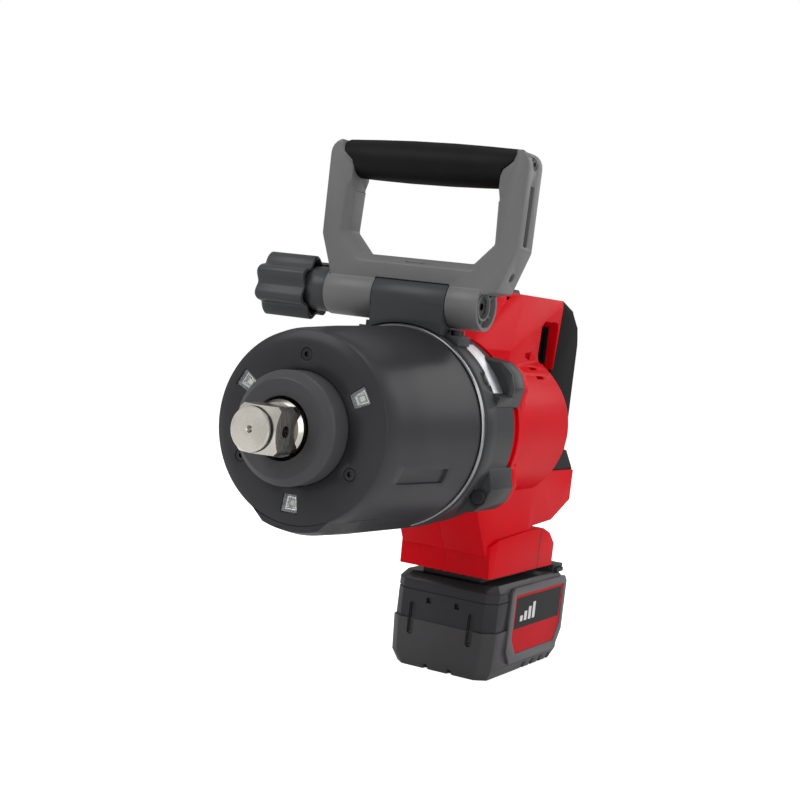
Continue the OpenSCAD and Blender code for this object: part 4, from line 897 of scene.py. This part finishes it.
buildLoopFrame()
buildLoopGrip()
buildKnob()
print("loop handle ready")


lamps = {                   # three lamps in the nose face, mm behind it
    "angles": (30, 150, 270),
    "circle": 41.4,
    "outline": [(-4.2, -5.2), (4.2, -5.2), (5.3, 5.2), (-5.3, 5.2)],
    "tray": (2.25, 3.85),
    "trayInset": 1.65,
    "bowlInset": 1.95,
    "bowlFloor": 1.7,
    "bowlPast": 0.1,
    "chip": (3.4, 3.88),
    "chipShape": (1.4, 0.3),            # half, corner
    "lens": (0.6, 1.7),
    "lensShape": (0.25, 0.6),           # inset, corner
}


def atLamp(angle, shape):
    # an outline at a lamp's place, its long axis pointing away from the anvil
    turn = math.radians(90 - angle)
    out = []
    for x, z in shape:
        z += lamps["circle"]
        out.append((x * math.cos(turn) + z * math.sin(turn),
                    -x * math.sin(turn) + z * math.cos(turn)))
    return out


def lampOutline(angle, inset):
    shape = []
    for x, z in lamps["outline"]:
        shape.append((math.copysign(abs(x) - inset, x), math.copysign(abs(z) - inset, z)))
    return atLamp(angle, shape)


def buildLamp(index, angle):
    front, rear = lamps["tray"]
    mouth = lampOutline(angle, lamps["bowlInset"])
    base = atLamp(angle, square(lamps["bowlFloor"]))
    tray = prism(lampOutline(angle, lamps["trayInset"]), "y", front, rear)
    bowl = loft([(front - lamps["bowlPast"], mouth), (rear + lamps["bowlPast"], base)], "y")
    carve(tray, cut=[bowl])
    addedPiece(tray, "lampReflector" + str(index), "led_board", mirrorMetal)
    inset, corner = lamps["lensShape"]
    lensName = "lampLens" + str(index)
    glass = prism(rounded(lampOutline(angle, inset), corner, 3), "y", *lamps["lens"], name=lensName)
    if index == 1:
        finishPiece(glass, "led_lenses", lampGlass)
    else:
        addedPiece(glass, lensName, "led_lenses", lampGlass)
    half, corner = lamps["chipShape"]
    chip = prism(atLamp(angle, rounded(square(half), corner, 3)), "y", *lamps["chip"])
    addedPiece(chip, "lampChip" + str(index), "led_board", chipYellow)


for index, angle in enumerate(lamps["angles"]):
    buildLamp(index + 1, angle)
print("lamps ready")


pack = {                    # the battery, mm from the middle of its underside
    "half": 38.5,
    "halfLength": 64.6,
    "corner": 7.0,
    "soft": 0.45,
    "slotAt": 22.0,
    "slotHalf": 2.5,
    "slotHeight": (22.0, 44.6),
    "slotDepth": (2.0, 2.2),            # out of the front face and into it
    "groove": (52.4, 53.2),
    "grooveReach": ((-50, -80), (50, -39.6)),
    "grooveDepth": 1.7,
    "eyes": (10.5, 45.2, 48.8),         # the two square holes: place, bottom and top
    "eyeHalf": 1.8,
    "eyeDepth": 3.4,
    "label": [(-31, 56), (54, 56), (54, 27), (46, 15), (-22, 15), (-31, 26)],
    "labelTop": [(-28.6, 54.2), (51.6, 54.2), (51.6, 32.5), (-28.6, 32.5)],
    "bars": [(-20, 4), (-13, 6.5), (-6, 9), (1, 11.5)],         # charge sign: place and height
    "barFoot": 37,
    "barWide": 4.6,
    "layers": ((-0.38, 0.15), (0.1, 0.24), (0.2, 0.3)),         # prints, from the flank
    "printCorners": (1.2, 1.0, 0.6),
}


def packPlan(inset):
    half, length, corner = pack["half"] - inset, pack["halfLength"] - inset, pack["corner"]
    front = [(-half, -length + corner), (-half + corner, -length),
             (half - corner, -length), (half, -length + corner)]
    return front + [(-x, -y) for x, y in front]


def packSlots():
    # upright round-ended slots in the front face
    low, high = pack["slotHeight"]
    out, into = pack["slotDepth"]
    front, half = -pack["halfLength"], pack["slotHalf"]
    slots = []
    for side in (-1, 1):
        x = side * pack["slotAt"]
        corners = [(x - half, low), (x + half, low), (x + half, high), (x - half, high)]
        slots.append(prism(rounded(corners, half, 6), "y", front - out, front + into, packOrigin))
    return slots


def packEyes():
    place, bottom, top = pack["eyes"]
    front, half = -pack["halfLength"], pack["eyeHalf"]
    eyes = []
    for x in (-place, place):
        near, far = (x - half, front - past, bottom), (x + half, front + pack["eyeDepth"], top)
        eyes.append(block(near, far, packOrigin))
    return eyes


def packGroove():
    # a groove round the front part of the pack
    low, high = pack["groove"]
    (x0, y0), (x1, y1) = pack["grooveReach"]
    core = prism(packPlan(pack["grooveDepth"]), "z", low - past, high + past, packOrigin)
    return carve(block((x0, y0, low), (x1, y1, high), packOrigin), cut=[core])


def packLowerCase():
    # rounded first: its slots keep sharp edges
    case = roundEdges(bareCopy("battery_lower_case", "packLowerCase"), pack["soft"])
    carve(case, cut=packSlots())
    tidyMesh(case.data)
    return finishPiece(roundEdges(case, 0), "battery_lower_case", packGrey)


def packUpperCase():
    low, high = pack["groove"]
    front = -pack["halfLength"]
    groove = packGroove()
    eyes = packEyes()
    case = carve(bareCopy("battery_upper_case", "packUpperCase"), cut=packSlots() + [groove] + eyes)
    tidyMesh(case.data)
    slotBox = ((-27, front - past, 20), (27, front + 4, 50))
    grooveBox = ((-50, -80, low - 0.1), (50, -39, high + 0.1))
    roundEdges(case, pack["soft"], spared=[slotBox, grooveBox])
    return finishPiece(case, "battery_upper_case", packBlack)


def printOnFlanks(outline, layer, name, turnedAbout=None):
    # one printed layer on both flanks; turnedAbout makes it read the same way on each
    low, high = (pack["half"] + depth for depth in pack["layers"][layer])
    plate = prism(outline, "x", low, high, packOrigin, name)
    other = outline
    if turnedAbout is not None:
        other = [(2 * turnedAbout - y, z) for y, z in outline]
    return carve(plate, add=[prism(other, "x", -high, -low, packOrigin)])


def buildLabels():
    labelCorner, panelCorner, barCorner = pack["printCorners"]
    label = printOnFlanks(rounded(pack["label"], labelCorner, 4), 0, "packLabels")
    finishPiece(label, "battery_labels", labelRed)
    panel = printOnFlanks(rounded(pack["labelTop"], panelCorner, 4), 1, "packLabelPanels")
    addedPiece(panel, panel.name, "battery_labels", labelBlack)
    middle = sum(y for y, z in pack["labelTop"]) / len(pack["labelTop"])
    low, wide = pack["barFoot"], pack["barWide"]
    for index, (place, height) in enumerate(pack["bars"]):
        end, top = place + wide, low + height
        shape = rounded([(place, low), (end, low), (end, top), (place, top)], barCorner, 3)
        bar = printOnFlanks(shape, 2, "packChargeBar" + str(index + 1), middle)
        addedPiece(bar, bar.name, "battery_labels", labelPale)


packLowerCase()
packUpperCase()
buildLabels()
print("pack ready")


lugs = {                    # the boot's four lugs, mm
    "angle": 34.0,
    "circle": 64.4,
    "low": [(53.6, -16), (59, -16.4), (66, -9), (67.6, 0), (66, 9), (59, 16.4), (53.6, 16)],
    "full": [(53.6, -17.2), (59.5, -17.6), (68.6, -9.2), (71, 0), (68.6, 9.2), (59.5, 17.6),
             (53.6, 17.2)],
    "bore": 59.4,
    "cover": (140.2, 142.4, 144.3),     # starts, full size, ends
    "coverSoft": 0.3,
    "plug": (126.1, 141.6),
    "plugRadius": 4.62,
    "plugChamfer": (0.42, 0.5),
}
casePads = {                # the bright case in the boot's two windows, mm and degrees
    "along": (125.75, 143.75),
    "radii": (58.2, 62.1),
    "angles": (25.8, 60.6),
    "steps": 16,
    "soft": 0.4,
}


def lugOutline(points, sideways, upright):
    turn = math.radians(lugs["angle"])
    out = []
    for r, t in points:
        x = r * math.cos(turn) - t * math.sin(turn)
        z = r * math.sin(turn) + t * math.cos(turn)
        out.append((sideways * x, upright * z))
    return out


def lugSlope(sideways):
    # the sloped cover in front of an upper lug's screw
    first, full, last = lugs["cover"]
    low, high = (lugOutline(lugs[k], sideways, 1) for k in ("low", "full"))
    cover = loft([(first, low), (full, high), (last, high)], "y")
    bore = prism(circle(lugs["bore"], steps=96), "y", first - past, last + past)
    return roundEdges(carve(cover, cut=[bore]), lugs["coverSoft"])


def lugPlug(sideways):
    # the flush plug in a lower lug
    turn = math.radians(lugs["angle"])
    spot = (sideways * lugs["circle"] * math.cos(turn), -lugs["circle"] * math.sin(turn))
    start, end = lugs["plug"]
    radius = lugs["plugRadius"]
    narrower, slope = lugs["plugChamfer"]
    profile = [(radius - narrower, start), (radius, start + slope), (radius, end)]
    return roundEdges(lathe(profile, "y", spot), 0)


def buildLugs():
    covers = [lugSlope(1), lugSlope(-1), lugPlug(1), lugPlug(-1)]
    for index, cover in enumerate(covers):
        addedPiece(cover, "lugCover" + str(index + 1), "gearcase_boot", bootGrey)


def buildCasePads():
    # the bright case fills both windows, up to the boot's outer face
    (inner, outer), (low, high), steps = (casePads[k] for k in ("radii", "angles", "steps"))
    turns = [math.radians(low + (high - low) * i / steps) for i in range(steps + 1)]
    for index, side in enumerate((1, -1)):
        rim = [(side * outer * math.cos(a), outer * math.sin(a)) for a in turns]
        root = [(side * inner * math.cos(a), inner * math.sin(a)) for a in reversed(turns)]
        pad = roundEdges(prism(rim + root, "y", *casePads["along"]), casePads["soft"])
        addedPiece(pad, "casePad" + str(index + 1), "hammer_case", caseMetal)


buildLugs()
buildCasePads()
print("lug covers and case pads ready")


studio = {
    "floorSize": 12,                    # m
    "floorGrey": 0.86,
    "floorGlow": 0.75,                  # adds up to white where it is seen
    "level": 0.3,                       # the world's light on the object
    "aim": (0, -0.08, 0.16),
}


def seenDirectly(tree):
    # 1 for what the camera sees, straight on or through metal and glass
    seen = tree.nodes.new("ShaderNodeLightPath")
    first = sums(tree, "MAXIMUM", seen.outputs["Is Camera Ray"], seen.outputs["Is Glossy Ray"])
    return sums(tree, "MAXIMUM", first, seen.outputs["Is Transmission Ray"])


def paleFloor():
    bpy.ops.mesh.primitive_plane_add(size=studio["floorSize"], location=(0, 0, 0))
    floor = bpy.context.object
    floor.name = "paleFloor"
    grey = studio["floorGrey"]
    mat, tree, skin = newMaterial("pale floor", **{"Roughness": 0.8, "Specular IOR Level": 0.1})
    skin.inputs["Base Color"].default_value = colour(grey, grey, grey)
    glow = tree.nodes.new("ShaderNodeEmission")
    glow.inputs["Strength"].default_value = studio["floorGlow"]
    both = tree.nodes.new("ShaderNodeAddShader")
    chooser = tree.nodes.new("ShaderNodeMixShader")
    tree.links.new(skin.outputs["BSDF"], both.inputs[0])
    tree.links.new(glow.outputs["Emission"], both.inputs[1])
    tree.links.new(seenDirectly(tree), chooser.inputs["Fac"])
    tree.links.new(skin.outputs["BSDF"], chooser.inputs[1])
    tree.links.new(both.outputs["Shader"], chooser.inputs[2])
    out = next(n for n in tree.nodes if n.type == "OUTPUT_MATERIAL")
    tree.links.new(chooser.outputs["Shader"], out.inputs["Surface"])
    floor.data.materials.append(mat)


def studioWorld():
    world = bpy.data.worlds.new("studio")
    bpy.context.scene.world = world
    world.use_nodes = True
    tree = world.node_tree
    back = tree.nodes["Background"]
    back.inputs["Color"].default_value = colour(1, 1, 1)
    extra = sums(tree, "MULTIPLY", seenDirectly(tree), 1.0 - studio["level"])
    tree.links.new(sums(tree, "ADD", extra, studio["level"]), back.inputs["Strength"])


softBoxes = {               # name: (place, size, power in watts)
    "keyBox": ((-0.9, -1.5, 1.5), (1.2, 1.0), 22.0),
    "sideBox": ((1.6, -0.5, 0.7), (0.7, 1.4), 10.0),
    "topBox": ((0.2, 0.1, 1.7), (1.2, 1.2), 10.0),
    "backBox": ((0.6, 1.6, 0.9), (1.2, 0.9), 8.0),
}


def addSoftBox(name, place, size, power):
    lamp = bpy.data.lights.new(name, "AREA")
    lamp.shape = "RECTANGLE"
    lamp.size, lamp.size_y = size
    lamp.energy = power
    box = bpy.data.objects.new(name, lamp)
    box.location = place
    aim = Vector(studio["aim"]) - Vector(place)
    box.rotation_euler = aim.to_track_quat("-Z", "Y").to_euler()
    bpy.context.scene.collection.objects.link(box)


view = {                    # place in m, angles in degrees, lens and sensor in mm
    "place": (0.4229, -0.9652, 0.2386),
    "azimuth": 27.7,
    "elevation": 3.4,
    "roll": 6.8,
    "lens": 67.4,
    "sensor": 36,
    "near": 0.01,                       # m
}


def addCamera():
    azimuth, elevation, roll = (math.radians(view[k]) for k in ("azimuth", "elevation", "roll"))
    flat = math.cos(elevation)
    back = Vector((math.sin(azimuth) * flat, -math.cos(azimuth) * flat, math.sin(elevation)))
    right = Vector((math.cos(azimuth), math.sin(azimuth), 0))
    level = Matrix((right, back.cross(right), back))
    c, s = math.cos(roll), math.sin(roll)
    tilt = Matrix(((c, s, 0), (-s, c, 0), (0, 0, 1)))
    camera = bpy.data.cameras.new("photoCamera")
    camera.lens = view["lens"]
    camera.sensor_width = view["sensor"]
    camera.clip_start = view["near"]
    holder = bpy.data.objects.new("photoCamera", camera)
    holder.matrix_world = Matrix.Translation(view["place"]) @ (tilt @ level).transposed().to_4x4()
    bpy.context.scene.collection.objects.link(holder)
    bpy.context.scene.camera = holder


paleFloor()
studioWorld()
for name, (place, size, power) in softBoxes.items():
    addSoftBox(name, place, size, power)
addCamera()
bpy.context.scene.view_settings.view_transform = "Standard"
print("studio ready")
